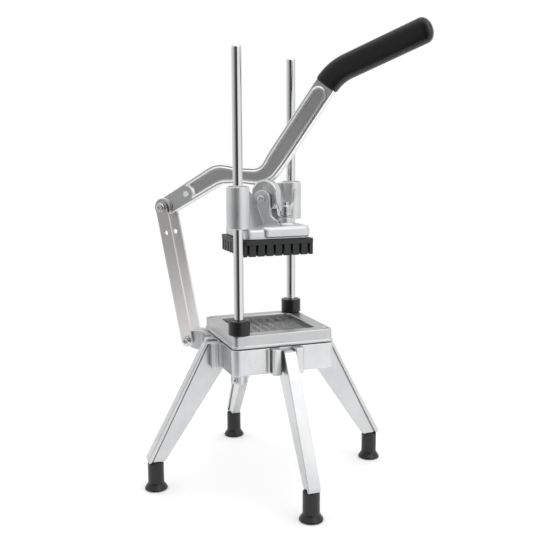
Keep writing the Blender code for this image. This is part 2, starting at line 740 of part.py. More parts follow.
def make_wing_nut(knob):
    """The wing nut that clamps the pusher, its wings raised clear of the lever."""
    seat = 345 * MM
    hub = turned(
        [
            (0, seat),
            (7.4 * MM, seat),
            (7.6 * MM, seat + 2.5 * MM),
            (6.2 * MM, seat + 12 * MM),
            (5.4 * MM, seat + 13 * MM),
            (0, seat + 13 * MM),
        ],
        24,
    )
    wing = rounded(
        [
            (3 * MM, seat + 2 * MM),
            (8.6 * MM, seat + 5 * MM),
            (18.6 * MM, seat + 29 * MM),
            (15.6 * MM, seat + 34.5 * MM),
            (9.4 * MM, seat + 28 * MM),
            (5.2 * MM, seat + 12 * MM),
            (3 * MM, seat + 12 * MM),
        ],
        [0, 3 * MM, 4.5 * MM, 2.4 * MM, 3 * MM, 0, 0],
        4,
    )
    half = 1.5 * MM
    steps = []
    for side in (-1, 1):
        blade = prism([(side * a, b) for a, b in wing], -half, half, "X")
        blade.transform(Matrix.Rotation(math.radians(-90), 4, "Z"))
        steps.append(("UNION", blade))
    steps.append(("DIFFERENCE", cylinder(STUD_RADIUS + GAP, seat - WALL, seat + 20 * MM, 24)))
    mesh = combined(hub, steps)
    mesh.transform(Matrix.Translation((0, STUD_Y, 0)) @ Matrix.Rotation(WING_TURN, 4, "Z"))
    piece("wing_nut", mesh, ZINC, knob)


WING_TURN = math.radians(-25)
HANDLE_START = (-82 * MM, 502.4 * MM)
HANDLE_BEND = (-92.1 * MM, 518.4 * MM)
HANDLE_TIP = (-208.6 * MM, 564 * MM)
KNEE = (0.8 * MM, 392.5 * MM)
CROOK = (66.8 * MM, 396.5 * MM)


def lever_path():
    """The lever's centre line from the rear pivot to the handle's tip, bends rounded."""
    bend = 60 * MM
    path = [REAR_PIVOT]
    path += fillet(REAR_PIVOT, CROOK, KNEE, 34 * MM, 8)
    path += fillet(CROOK, KNEE, HANDLE_START, 28 * MM, 10)
    path += fillet(KNEE, HANDLE_BEND, HANDLE_TIP, bend, 10)
    path.append(HANDLE_TIP)
    return np.array(path)


def sampled(path, first, last, count):
    """Points, unit tangents and distances at even steps along a path."""
    lengths = np.concatenate([[0], np.cumsum(np.linalg.norm(np.diff(path, axis=0), axis=1))])
    stations = np.linspace(first, last, count)
    points = np.stack([np.interp(stations, lengths, path[:, k]) for k in (0, 1)], axis=1)
    ahead = np.stack([np.interp(stations + 1 * MM, lengths, path[:, k]) for k in (0, 1)], axis=1)
    behind = np.stack([np.interp(stations - 1 * MM, lengths, path[:, k]) for k in (0, 1)], axis=1)
    tangents = ahead - behind
    tangents /= np.linalg.norm(tangents, axis=1)[:, None]
    return points, tangents, stations


def distance_to(path, point):
    """Distance along a path of the vertex or foot nearest to a point."""
    points, _, stations = sampled(path, 0, path_length(path), 2000)
    return float(stations[np.argmin(np.linalg.norm(points - np.array(point), axis=1))])


def path_length(path):
    """Total length of a path."""
    return float(np.linalg.norm(np.diff(path, axis=0), axis=1).sum())


def stroke(points, tangents, half_widths):
    """The closed outline of a band of varying width laid along a path."""
    normals = np.stack([-tangents[:, 1], tangents[:, 0]], axis=1)
    left = points + normals * half_widths[:, None]
    right = points - normals * half_widths[:, None]
    return [tuple(p) for p in np.concatenate([left, right[::-1]])]


def lever_width(path, stations):
    """Half-width of the lever along its path: broad at the crook, slim at the knee."""
    knots = [
        0,
        distance_to(path, CROOK),
        (distance_to(path, CROOK) + distance_to(path, KNEE)) / 2,
        distance_to(path, KNEE),
        distance_to(path, KNEE) + 30 * MM,
        path_length(path),
    ]
    widths = [12.3 * MM, 13.6 * MM, 10.4 * MM, 11.5 * MM, 13.4 * MM, 13.4 * MM]
    return np.interp(stations, knots, widths)


def make_lever(lever):
    """The cast lever with recessed panels, its bored hubs and the dipped grip."""
    path = lever_path()
    total = path_length(path)
    start = distance_to(path, HANDLE_START)
    points, tangents, stations = sampled(path, 0, start, 60)
    arm = stroke(points, tangents, lever_width(path, stations))
    points, tangents, stations = sampled(path, start - 1 * MM, total - 10 * MM, 16)
    core = stroke(points, tangents, np.full(len(stations), CORE_HALF))
    panel_end = start - 10 * MM
    panel_start = distance_to(path, (113 * MM, 371 * MM)) + 9 * MM
    points, tangents, stations = sampled(path, panel_start, panel_end, 54)
    inset = lever_width(path, stations) - LEVER_RIM
    nose = np.clip((panel_end - stations) / inset, 0, 1)
    inset = inset * np.sqrt(np.clip(1 - (1 - nose) ** 2, 0.02, 1))
    panel = stroke(points, tangents, inset)
    steps = [("UNION", prism(core, -LEVER_HALF, LEVER_HALF, "X"))]
    for side in (-1, 1):
        levels = sorted((side * (LEVER_HALF - POCKET_DEPTH), side * (LEVER_HALF + WALL)))
        steps.append(("DIFFERENCE", prism(panel, *levels, "X")))
    steps.append(("UNION", cylinder(HUB_RADIUS, -HUB_HALF, HUB_HALF, 36, (0, *FULCRUM), "X")))
    rear_half = BAR_INNER - GAP
    steps.append(("UNION", cylinder(REAR_HUB_RADIUS, -rear_half, rear_half, 28, (0, *REAR_PIVOT), "X")))
    bore = PIN_RADIUS + GAP
    reach = 20 * MM
    holes = [cylinder(bore, -reach, reach, 24, (0, *pivot), "X") for pivot in (FULCRUM, REAR_PIVOT)]
    holes.append(cylinder(3.4 * MM, -reach, reach, 20, (0, 115.5 * MM, 369.6 * MM), "X"))
    steps.append(("DIFFERENCE", joined(holes)))
    piece("lever_arm", combined(prism(arm, -LEVER_HALF, LEVER_HALF, "X"), steps), CASTING, lever)
    pin = cylinder(PIN_RADIUS, -rear_half, rear_half, 24, (0, *REAR_PIVOT), "X")
    piece("lever_rear_pin", pin, STAINLESS, lever)
    make_grip(path, start, total, lever)


def section(half_width, half_thickness, power, count):
    """A superellipse section as (across, through) pairs; a high power nears a rectangle."""
    angles = 2 * np.pi * (np.arange(count) + 0.5) / count
    across = np.sign(np.cos(angles)) * np.abs(np.cos(angles)) ** (2 / power) * half_width
    through = np.sign(np.sin(angles)) * np.abs(np.sin(angles)) ** (2 / power) * half_thickness
    return np.stack([across, through], axis=1)


def make_grip(path, start, total, lever):
    """The grip: a thick sleeve along the handle, closed and rounded at the tip."""
    count = 24
    nose = 11 * MM
    points, tangents, stations = sampled(path, start + GAP, total, 26)
    fade = np.clip((stations - (total - nose)) / nose, 0, 1)
    scale = np.sqrt(np.clip(1 - fade**2.4, 0.04, 1))
    outer = section(GRIP_WIDTH_HALF, GRIP_THICK_HALF, 3.2, count)
    hollow = section(CORE_HALF + 2 * GAP, LEVER_HALF + 2 * GAP, 14, count)
    inner_points, inner_tangents, _ = sampled(path, start + GAP, total - 9 * MM, 16)
    work = bmesh.new()
    rings = []
    for place, along, size in reversed(list(zip(points, tangents, scale))):
        rings.append(ring_verts(work, place, along, outer * size))
    for place, along in zip(inner_points, inner_tangents):
        rings.append(ring_verts(work, place, along, hollow))
    work.faces.new(rings[0])
    work.faces.new(rings[-1])
    for first, second in zip(rings, rings[1:]):
        for i in range(count):
            j = (i + 1) % count
            work.faces.new((first[i], first[j], second[j], second[i]))
    piece("handle_grip", finish_mesh(work, "grip"), VINYL, lever)


def ring_verts(work, place, along, shape):
    """One ring of a sweep in the lever's plane: across lies in the plane, through is X."""
    normal = np.array([-along[1], along[0]])
    ring_of = []
    for across, through in shape:
        spot = place + normal * across
        ring_of.append(work.verts.new((through, spot[0], spot[1])))
    return ring_of


def make_links(link):
    """The two flat link bars and the bolt and nut at their upper end."""
    low = Vector(LOW_PIVOT)
    high = Vector(REAR_PIVOT)
    run = (high - low).normalized()
    side_way = Vector((-run.y, run.x))
    outline = []
    for centre, first in ((high, 0.0), (low, math.pi)):
        for k in range(13):
            angle = first + math.pi * k / 12
            spot = centre - side_way * BAR_HALF * math.cos(angle) + run * BAR_HALF * math.sin(angle)
            outline.append((spot.x, spot.y))
    spare = high - run * 34.5 * MM
    bore = PIN_RADIUS + GAP
    reach = 20 * MM
    for name, side in (("left", -1), ("right", 1)):
        bar = prism(outline, *sorted((side * BAR_INNER, side * BAR_OUTER)), "X")
        holes = [cylinder(bore, -reach, reach, 24, (0, spot.x, spot.y), "X") for spot in (low, high)]
        holes.append(cylinder(3.2 * MM, -reach, reach, 20, (0, spare.x, spare.y), "X"))
        piece(f"link_bar_{name}", bored(bar, holes), STAINLESS, link)
    pivot_bolt("link_stub_left", REAR_PIVOT, BAR_OUTER + GAP, 6 * MM, STAINLESS, link, -BAR_INNER)
    stub = bolt_mesh(
        6 * MM,
        BAR_OUTER + GAP + 3.6 * MM,
        BAR_OUTER + GAP,
        PIN_RADIUS,
        BAR_INNER,
        20,
        (0, *REAR_PIVOT),
        "X",
    )
    piece("link_stub_right", stub, STAINLESS, link)


def build():
    """Makes the bodies and fills each with its pieces."""
    clear_scene()
    base = frame_empty("base_frame", None, (0, DICER_Y, 0))
    head = frame_empty("head_slide_frame", base, (0, 0, BLOCK_LOW))
    lever = frame_empty("lever_pivot_frame", base, (0, *FULCRUM))
    link = frame_empty("link_pivot_frame", base, (0, *LOW_PIVOT))
    knob = frame_empty("wing_nut_frame", base, (0, STUD_Y, 345 * MM))
    make_skirt(base)
    make_legs(base)
    make_frame(base)
    make_rods(base)
    make_bracket(base)
    pivot_bolt("bracket_bolt", LOW_PIVOT, BAR_OUTER + GAP, 6.2 * MM, STAINLESS, base)
    pivot_nut("bracket_nut", LOW_PIVOT, BAR_OUTER + GAP, STAINLESS, base)
    make_head(head)
    make_pusher(head)
    pivot_bolt("fulcrum_bolt", FULCRUM, EAR_OUTER + GAP, 5 * MM, STAINLESS, head)
    pivot_nut("fulcrum_nut", FULCRUM, EAR_OUTER + GAP, STAINLESS, head)
    make_wing_nut(knob)
    make_lever(lever)
    make_links(link)


build()
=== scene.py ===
"""Studio view of a lever-operated vegetable dicer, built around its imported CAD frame."""

import math

import bmesh
import bpy
import numpy as np
from mathutils import Matrix, Vector


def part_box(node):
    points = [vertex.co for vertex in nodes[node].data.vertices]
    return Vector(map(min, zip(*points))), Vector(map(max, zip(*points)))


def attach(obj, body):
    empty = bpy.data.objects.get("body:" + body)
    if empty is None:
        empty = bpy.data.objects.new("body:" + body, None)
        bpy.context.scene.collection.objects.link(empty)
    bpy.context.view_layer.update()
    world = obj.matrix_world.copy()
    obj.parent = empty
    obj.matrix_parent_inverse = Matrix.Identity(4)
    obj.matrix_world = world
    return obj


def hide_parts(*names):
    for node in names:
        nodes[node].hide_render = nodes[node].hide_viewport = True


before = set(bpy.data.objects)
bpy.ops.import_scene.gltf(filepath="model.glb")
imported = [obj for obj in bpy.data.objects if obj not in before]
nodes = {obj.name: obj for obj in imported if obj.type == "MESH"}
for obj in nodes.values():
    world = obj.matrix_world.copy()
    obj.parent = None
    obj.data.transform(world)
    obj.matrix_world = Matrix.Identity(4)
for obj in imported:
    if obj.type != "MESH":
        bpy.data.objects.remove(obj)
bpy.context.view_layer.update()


# The studio. The dicer stands on a pale matt floor in a light tent: the walls behind and beside it
# are white, a soft box stands to the right and the side that the viewer looks from is dim, which
# gives polished parts their dark middle stripe.
MM = 0.001
LENS = 52.06
PITCH = math.radians(8.984)
ROLL = math.radians(0.19)
HEADING = np.array([0.90782, 0.41936])
EYE = Vector((-0.91684, -0.41156, 0.42765))
FLOOR_RADIUS = 0.62


class Wire:
    """A shader socket that sums can be written with: each operator adds one Math node."""

    def __init__(self, paint, socket):
        self.paint = paint
        self.socket = socket

    def maths(self, operation, first, second=0.0):
        return self.paint.node("ShaderNodeMath", {"operation": operation}, [first, second])

    def __add__(self, other):
        return self.maths("ADD", self, other)

    def __radd__(self, other):
        return self.maths("ADD", other, self)

    def __sub__(self, other):
        return self.maths("SUBTRACT", self, other)

    def __rsub__(self, other):
        return self.maths("SUBTRACT", other, self)

    def __mul__(self, other):
        return self.maths("MULTIPLY", self, other)

    def __rmul__(self, other):
        return self.maths("MULTIPLY", other, self)


class Nodes:
    """A node tree that is written one node at a time."""

    def __init__(self, tree):
        self.tree = tree

    def node(self, kind, settings, inputs, output=0):
        """Makes a node: its settings first, then its sockets, each from a value or a Wire."""
        made = self.tree.nodes.new(kind)
        for key, value in settings.items():
            setattr(made, key, value)
        pairs = inputs.items() if isinstance(inputs, dict) else enumerate(inputs)
        for key, value in pairs:
            if isinstance(value, Wire):
                self.tree.links.new(value.socket, made.inputs[key])
            else:
                made.inputs[key].default_value = value
        return Wire(self, made.outputs[output]) if made.outputs else None

    def step(self, value, start, end):
        """A smooth step from 0 to 1 as value goes from start to end."""
        inputs = {"Value": value, "From Min": start, "From Max": end}
        return self.node("ShaderNodeMapRange", {"interpolation_type": "SMOOTHSTEP"}, inputs)


def light_tent(tree):
    """Brightness by compass angle from the viewer's side, and brighter overhead. The viewer's side is
    dark, its right hand a white wall, its left hand a grey one that brightens towards the back, where
    both walls darken again. The camera itself sees plain white."""
    tree.nodes.clear()
    maker = Nodes(tree)
    way = maker.node("ShaderNodeTexCoord", {}, {})
    height = maker.node("ShaderNodeSeparateXYZ", {}, [way], 2)

    def towards(x, y):
        inputs = [way, (x, y, 0)]
        return maker.node("ShaderNodeVectorMath", {"operation": "DOT_PRODUCT"}, inputs, "Value")

    ahead_x, ahead_y = HEADING
    sideways = towards(ahead_y, -ahead_x)
    right = maker.node("ShaderNodeMath", {"operation": "ARCTAN2"}, [sideways, towards(-ahead_x, -ahead_y)])
    left = 0.0 - right
    # Each row is a side, the angles between which the level changes, and by how much.
    changes = [
        (right, 0.18, 0.50, 1.05),
        (left, 0.36, 0.80, 0.35),
        (left, 0.92, 1.35, 0.42),
        (left, 1.70, 2.20, 0.18),
        (right, 1.45, 1.80, -0.30),
        (right, 1.95, 2.30, 0.22),
        (right, 2.45, 2.75, -0.30),
        (left, 2.45, 2.75, -0.30),
    ]
    level = 0.05
    for side, start, end, change in changes:
        level = level + maker.step(side, start, end) * change
    above = maker.step(height, 0.35, 0.85)
    level = level * (1.0 - above) + above * 1.5
    seen = maker.node("ShaderNodeLightPath", {}, {})
    shown = level * (1.0 - seen) + seen
    background = maker.node("ShaderNodeBackground", {}, {"Color": (1, 1, 1, 1), "Strength": shown})
    maker.node("ShaderNodeOutputWorld", {}, {"Surface": background})


def studio():
    """Camera, light tent and one soft lamp."""
    scene = bpy.context.scene
    scene.view_settings.view_transform = "Standard"
    lens = bpy.data.cameras.new("camera")
    lens.lens = LENS
    lens.sensor_width = 36
    lens.clip_start = 0.01
    camera = bpy.data.objects.new("camera", lens)
    right = Vector((HEADING[1], -HEADING[0], 0))
    ahead = Vector((*(HEADING * math.cos(PITCH)), -math.sin(PITCH)))
    above = right.cross(ahead)
    across = right * math.cos(ROLL) - above * math.sin(ROLL)
    upward = right * math.sin(ROLL) + above * math.cos(ROLL)
    turned_to = Matrix((across, upward, -ahead)).transposed().to_4x4()
    camera.matrix_world = Matrix.Translation(EYE) @ turned_to
    scene.collection.objects.link(camera)
    scene.camera = camera
    world = bpy.data.worlds.new("light_tent")
    world.use_nodes = True
    light_tent(world.node_tree)
    scene.world = world
    lamp = bpy.data.lights.new("soft_box", "AREA")
    lamp.energy = 1.5
    lamp.size = 0.9
    lamp_object = bpy.data.objects.new("soft_box", lamp)
    place = Vector((-0.35, -1.15, 1.25))
    lamp_object.location = place
    lamp_object.rotation_euler = (Vector((0, 0, 0.3)) - place).to_track_quat("-Z", "Y").to_euler()
    scene.collection.objects.link(lamp_object)


def floor_mesh(radius, count):
    """A flat disc just under the feet: one ring of points round the origin, closed by one face."""
    angle = 2 * np.pi * np.arange(count) / count
    ring = np.stack([radius * np.cos(angle), radius * np.sin(angle), np.full(count, -0.3 * MM)], axis=1)
    mesh = bpy.data.meshes.new("floor")
    mesh.from_pydata(ring.tolist(), [], [list(range(count))])
    return mesh


studio()
floor = bpy.data.objects.new("floor", floor_mesh(FLOOR_RADIUS, 96))
bpy.context.scene.collection.objects.link(floor)


# Feet. Each foot is a moulded black rubber sleeve with a flared sole, pushed over the peg at the end
# of its leg. The rubber is matt with a fine moulded grain and a little dust in it.
class Paint(Nodes):
    """A procedural material: a Principled shader whose constants are set on its own sockets."""

    def __init__(self, name, **constants):
        self.material = bpy.data.materials.new(name)
        self.material.use_nodes = True
        super().__init__(self.material.node_tree)
        self.shader = self.tree.nodes["Principled BSDF"]
        for key, value in constants.items():
            self.shader.inputs[key.replace("_", " ")].default_value = value
        self.place = self.node("ShaderNodeTexCoord", {}, {}, "Object")

    def noise(self, scale, detail=3.0, stretch=(1, 1, 1), turn=(0, 0, 0)):
        """Noise of about 0 to 1 that varies `scale` times a metre, drawn out by stretch along an axis."""
        inputs = {"Vector": self.place, "Rotation": turn, "Scale": stretch}
        spot = self.node("ShaderNodeMapping", {"vector_type": "TEXTURE"}, inputs)
        return self.node("ShaderNodeTexNoise", {}, {"Vector": spot, "Scale": scale, "Detail": detail})

    def mix(self, share, first, second):
        """Colour between first and second by share."""
        inputs = {0: share, 6: first, 7: second}
        return self.node("ShaderNodeMix", {"data_type": "RGBA"}, inputs, 2)

    def feed(self, key, wire):
        """Joins a varying value to one of the shader's sockets."""
        self.tree.links.new(wire.socket, self.shader.inputs[key])

    def larger(self, first, second):
        """The larger of two values."""
        return self.node("ShaderNodeMath", {"operation": "MAXIMUM"}, [first, second])

    def relief(self, height, depth, edge=0.0):
        """Bump of a real depth in metres; an edge radius also softens the light on sharp corners."""
        inputs = {"Height": height, "Distance": depth}
        if edge:
            inputs["Normal"] = self.node("ShaderNodeBevel", {"samples": 6}, {"Radius": edge})
        self.feed("Normal", self.node("ShaderNodeBump", {}, inputs))


def node_box(name):
    """Low corner, high corner and middle of a CAD node's box."""
    low, high = (np.array(corner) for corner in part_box(name))
    return low, high, (low + high) / 2


def grey(level, warmth=0.0):
    """A near-neutral linear colour, a little warmer above 0 and cooler below."""
    return (level * (1 + warmth), level, level * (1 - warmth), 1.0)


def rubber_paint():
    """Moulded rubber: near black, dusty in patches, with a fine pitted grain."""
    paint = Paint("moulded_rubber")
    dust = paint.step(paint.noise(45, 5), 0.45, 0.75)
    grain = paint.noise(900, 2)
    paint.feed("Base Color", paint.mix(dust, grey(0.003, -0.05), grey(0.008, -0.02)))
    paint.feed("Roughness", 0.26 + dust * 0.14 + grain * 0.08)
    paint.relief(grain + paint.noise(140, 2) * 0.8, 0.06 * MM, 0.5 * MM)
    return paint


def softened(corners, reach, steps=5, closed=False):
    """Rounds a polyline. Each corner c gives way to the parabola (1-t)²a + 2t(1-t)c + t²b. Its ends a
    and b lie `reach` before and after c, or 0.45 of the side where that is shorter. Open ends stay."""
    corners = np.asarray(corners, float)
    reach = np.broadcast_to(reach, len(corners))

    def arm(way):
        length = np.maximum(np.linalg.norm(way, axis=1), 1e-9)
        return way * (np.minimum(reach, 0.45 * length) / length)[:, None]

    before = corners + arm(np.roll(corners, 1, axis=0) - corners)
    after = corners + arm(np.roll(corners, -1, axis=0) - corners)
    t = np.linspace(0, 1, steps + 1)[None, :, None]
    curve = (1 - t) ** 2 * before[:, None] + 2 * t * (1 - t) * corners[:, None] + t**2 * after[:, None]
    if closed:
        return curve.reshape(-1, corners.shape[1])
    return np.concatenate([corners[:1], curve[1:-1].reshape(-1, corners.shape[1]), corners[-1:]])


def turned(profile, centre, axis=(0, 0, 1), count=64):
    """Rings of a turned part: point = centre + height·axis + radius·(cos a·side + sin a·other)."""
    profile = np.asarray(profile, float)
    axis = np.array(axis, float) / np.linalg.norm(axis)
    side = np.cross(axis, np.roll(axis, 1) + (0, 0.013, 0))
    side /= np.linalg.norm(side)
    angle = 2 * np.pi * np.arange(count) / count
    circle = np.outer(np.cos(angle), side) + np.outer(np.sin(angle), np.cross(axis, side))
    return np.array(centre) + profile[:, 1, None, None] * axis + profile[:, 0, None, None] * circle


def creased(mesh, crease):
    """Smooth shading with sharp edges above an angle and round every flat end face."""
    mesh.shade_smooth()
    mesh.set_sharp_from_angle(angle=math.radians(crease))
    corners = np.zeros(len(mesh.polygons), np.int32)
    mesh.polygons.foreach_get("loop_total", corners)
    edges = np.zeros(len(mesh.loops), np.int32)
    mesh.loops.foreach_get("edge_index", edges)
    sharp = np.zeros(len(mesh.edges), bool)
    mesh.attributes["sharp_edge"].data.foreach_get("value", sharp)
    sharp[edges[np.repeat(corners > 4, corners)]] = True
    mesh.attributes["sharp_edge"].data.foreach_set("value", sharp)
    return mesh


def skin(name, grids, crease=40, marks=None):
    """One mesh from grids of points. A grid is a row of closed rings: each ring is joined to the next,
    a first and last ring that differ are closed with flat faces, and points that meet are welded.
    Marks are named values of the points, kept as attributes for the material."""
    points = []
    faces = []
    start = 0
    for grid in grids:
        rows, columns = grid.shape[:2]
        index = start + np.arange(rows * columns).reshape(rows, columns)
        beside = np.roll(index, -1, axis=1)
        quads = np.stack([index[:-1], beside[:-1], beside[1:], index[1:]], axis=-1)
        faces += quads.reshape(-1, 4).tolist()
        if not np.allclose(grid[0], grid[-1]):
            faces += [index[0].tolist(), index[-1].tolist()]
        points.append(grid.reshape(-1, 3))
        start += rows * columns
    mesh = bpy.data.meshes.new(name)
    mesh.from_pydata(np.concatenate(points).tolist(), [], faces)
    for key, values in (marks or {}).items():
        mark = mesh.attributes.new(key, "FLOAT", "POINT")
        mark.data.foreach_set("value", np.ravel(values).astype(np.float32))
    work = bmesh.new()
    work.from_mesh(mesh)
    bmesh.ops.remove_doubles(work, verts=work.verts, dist=2e-6)
    bmesh.ops.recalc_face_normals(work, faces=work.faces)
    work.to_mesh(mesh)
    work.free()
    return creased(mesh, crease)


def fit(name, mesh, paint, body, slot, *stands_for):
    """Puts a finished piece on its body, in place of the CAD nodes that it stands for."""
    piece = bpy.data.objects.new(name, mesh)
    mesh.materials.clear()
    mesh.materials.append(paint.material)
    even = piece.modifiers.new("even_flats", "WEIGHTED_NORMAL")
    even.keep_sharp = True
    bpy.context.scene.collection.objects.link(piece)
    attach(piece, body)
    if stands_for:
        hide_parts(*stands_for)
    return piece


def foot_profile(top):
    """Half section of a foot: a domed sole, a short flare and a straight sleeve with a soft rim."""
    corners = [(0, 0), (13.6, 0), (14.6, 1.0), (14.4, 2.2), (10.7, 7.8), (10.2, 10), (10.15, top - 1.2)]
    corners += [(9.4, top), (6.6, top), (6.4, top - 1.5), (0, top - 1.5)]
    return softened(np.array(corners) * MM, 1.1 * MM, 4)


rubber = rubber_paint()
for k in range(1, 5):
    low, high, middle = node_box(f"foot_{k}")
    mesh = skin(f"rubber_foot_{k}", [turned(foot_profile(high[2] / MM), middle * (1, 1, 0))])
    fit(f"rubber_foot_{k}", mesh, rubber, "base", "black_rubber", f"foot_{k}")


# Legs. Each is a tapered aluminium casting: a flat web with a broader face along its outer edge, which
# leaves a fine shadow line beside it. It is bolted between two cheeks of the skirt.
def cast_paint(name, edge=0.6 * MM, level=0.56, rough=0.22):
    """Tumbled cast aluminium: satin grey in soft patches with dull flecks. Sharp corners get a painted
    highlight, near white and smoother, and crevices get painted shade towards near black from ambient
    occlusion. One point attribute marks more places for the painted highlight; `sunk` marks recessed
    floors, painted darker and rougher, partly as a rough cast skin and partly as painted shade."""
    paint = Paint(name, Metallic=1.0)
    cloud = paint.noise(22, 4)
    skin_grain = paint.noise(1500, 2)
    fleck = paint.step(paint.noise(260, 3), 0.66, 0.74)
    worn = paint.node("ShaderNodeAttribute", {"attribute_name": "worn"}, {}, "Fac")
    sunk = paint.node("ShaderNodeAttribute", {"attribute_name": "sunk"}, {}, "Fac")
    eased = paint.node("ShaderNodeBevel", {"samples": 8}, {"Radius": edge})
    flat = paint.node("ShaderNodeNewGeometry", {}, {}, "Normal")
    agree = paint.node("ShaderNodeVectorMath", {"operation": "DOT_PRODUCT"}, [eased, flat], "Value")
    # Painted highlight: where the bevelled normal leaves the true normal, and where the bright mark is set,
    # the colour goes near white below.
    painted_highlight = paint.larger(paint.step(1.0 - agree, 0.01, 0.11), worn)
    # Painted shade: where ambient occlusion finds other surfaces within 2.2 mm, the colour goes towards
    # near black.
    open_air = paint.node("ShaderNodeAmbientOcclusion", {"samples": 8}, {"Distance": 2.2 * MM}, "AO")
    painted_crevice_shade = (1.0 - paint.step(open_air, 0.08, 0.62)) * 0.75
    patches = paint.step(cloud, 0.3, 0.7)
    tone = paint.mix(patches, grey(level * 0.94, -0.012), grey(level * 1.04, -0.006))
    tone = paint.mix(fleck * 0.35, tone, grey(level * 0.72, -0.01))
    # Recessed floors marked sunk are painted darker, partly as a rougher cast skin and partly as painted
    # shade.
    tone = paint.mix(sunk * (0.75 + skin_grain * 0.4), tone, grey(level * 0.78, 0.004))
    tone = paint.mix(painted_highlight, tone, grey(0.93, -0.004))
    paint.feed("Base Color", paint.mix(painted_crevice_shade, tone, grey(0.06)))
    rough = rough + cloud * 0.08 + skin_grain * 0.06 + fleck * 0.08
    paint.feed("Roughness", rough + sunk * 0.08 - painted_highlight * 0.08)
    grain = skin_grain * (0.55 + sunk * 0.8) + paint.noise(320, 3) * 0.6 + cloud * 1.6
    paint.relief(grain, 0.045 * MM, edge)
    return paint


def slab(outline, low, high, edge, place, steps=5):
    """A plate with rounded edges: while the level leaves a face by edge·(1-cos a), the outline widens
    from edge inside its line to the line itself by edge·(1-sin a)."""
    outline = np.asarray(outline, float)
    following = np.roll(outline, -1, axis=0)
    area = np.sum(outline[:, 0] * following[:, 1] - outline[:, 1] * following[:, 0])
    run = following - np.roll(outline, 1, axis=0)
    run *= np.sign(area) / np.maximum(np.linalg.norm(run, axis=1), 1e-9)[:, None]
    inward = np.stack([-run[:, 1], run[:, 0]], axis=1)
    turn = np.linspace(0, np.pi / 2, steps + 1)
    inset = edge * (1 - np.sin(turn))
    depth = edge * (1 - np.cos(turn))
    insets = np.concatenate([inset, inset[::-1]])[:, None, None]
    levels = np.concatenate([low + depth, high - depth[::-1]])[:, None]
    flat = outline + inward * insets
    return place(flat[..., 0], flat[..., 1], np.broadcast_to(levels, flat.shape[:2]))


def leg_places(angle):
    """Gives the function that stands a plate of (radius, height) at an angle round the dicer."""
    middle = node_box("base_skirt")[2]

    def stand(out, up, through):
        x = middle[0] + out * math.cos(angle) - through * math.sin(angle)
        y = middle[1] + out * math.sin(angle) + through * math.cos(angle)
        return np.stack([x, y, up], axis=-1)

    return stand


leg_cast = cast_paint("cast_aluminium_tumbled", 0.6 * MM, 0.60)
ankle = node_box("foot_1")[1][2] + 0.3 * MM
crown_out = 84.5 * MM
toe_out = 161 * MM
cheek_in = 67.2 * MM
cheek_step = 152 * MM
face_depth = 3.2 * MM
web_out = face_depth + 1.3 * MM
core_out = web_out + 1.5 * MM
for k in range(1, 5):
    stand = leg_places(math.radians(-135 + 90 * k))
    top = node_box(f"leg_{k}")[1][2]
    web = [(crown_out - web_out, top), (cheek_in, top), (cheek_in, cheek_step), (60.5 * MM, cheek_step)]
    web += [(140 * MM, ankle), (toe_out - web_out, ankle)]
    web = softened(web, np.array([1.6, 1.6, 0.5, 3.5, 2, 3.4]) * MM, 5, True)
    core = [(crown_out - 1 * MM, top - 1 * MM), (crown_out - core_out, top - 1 * MM)]
    core += [(toe_out - core_out, ankle + 1 * MM), (toe_out - 1 * MM, ankle + 1 * MM)]
    core = softened(core, 0.5 * MM, 2, True)
    face = [(crown_out, top), (crown_out - face_depth, top), (toe_out - face_depth, ankle)]
    face += [(toe_out, ankle), (toe_out + 1 * MM, ankle + 4 * MM)]
    face = softened(face, 1.6 * MM, 4, True)
    grids = [
        slab(web, -5.9 * MM, 5.9 * MM, 0.7 * MM, stand),
        slab(core, -4.4 * MM, 4.4 * MM, 0.3 * MM, stand),
        slab(face, -7.7 * MM, 7.7 * MM, 0.6 * MM, stand),
    ]
    mesh = skin(f"cast_leg_{k}", grids)
    fit(f"cast_leg_{k}", mesh, leg_cast, "base", "cast_aluminium", f"leg_{k}")


def dress(paint, *names):
    """Gives CAD nodes a better material in their own slots."""
    for name in names:
        mesh = nodes[name].data
        mesh.materials.clear()
        mesh.materials.append(paint.material)


def rib_places(angle):
    """Stands a plate upright whose plan is (radius, offset) at an angle round the dicer."""
    stand = leg_places(angle)

    def place(out, offset, up):
        return stand(out, up, offset)

    return place


skirt_cast = cast_paint("cast_aluminium_skirt", 1.3 * MM, 0.67, 0.24)
dress(skirt_cast, "base_skirt", "link_bracket")
deck = node_box("base_skirt")[1][2]
rib_in = 62 * MM
rib_out = 71.5 * MM
rib_grids = []
for k in range(4):
    place = rib_places(math.radians(45 + 90 * k))
    for side in (-1, 1):
        near, far = sorted((side * 20.8 * MM, side * 24 * MM))
        plan = softened([(rib_in, near), (rib_out, near), (rib_out, far), (rib_in, far)], 0.9 * MM, 3, True)
        rib_grids.append(slab(plan, deck - 30 * MM, deck - 0.6 * MM, 0.5 * MM, place))
fit("skirt_ribs", skin("skirt_ribs", rib_grids), skirt_cast, "base", "cast_aluminium")


# Blade frame. A square cast ring holds the blades. It stands on the skirt on a narrow foot, with a
# thin lip above the joint, and its screws sink into counterbores at two corners.
def cornerwise(half, reach, steps=8):
    """A square set on its corner about the rods' mid-plane, with rounded corners."""
    diagonal = half * math.sqrt(2)
    return softened([(diagonal, 0), (0, diagonal), (-diagonal, 0), (0, -diagonal)], reach, steps, True)


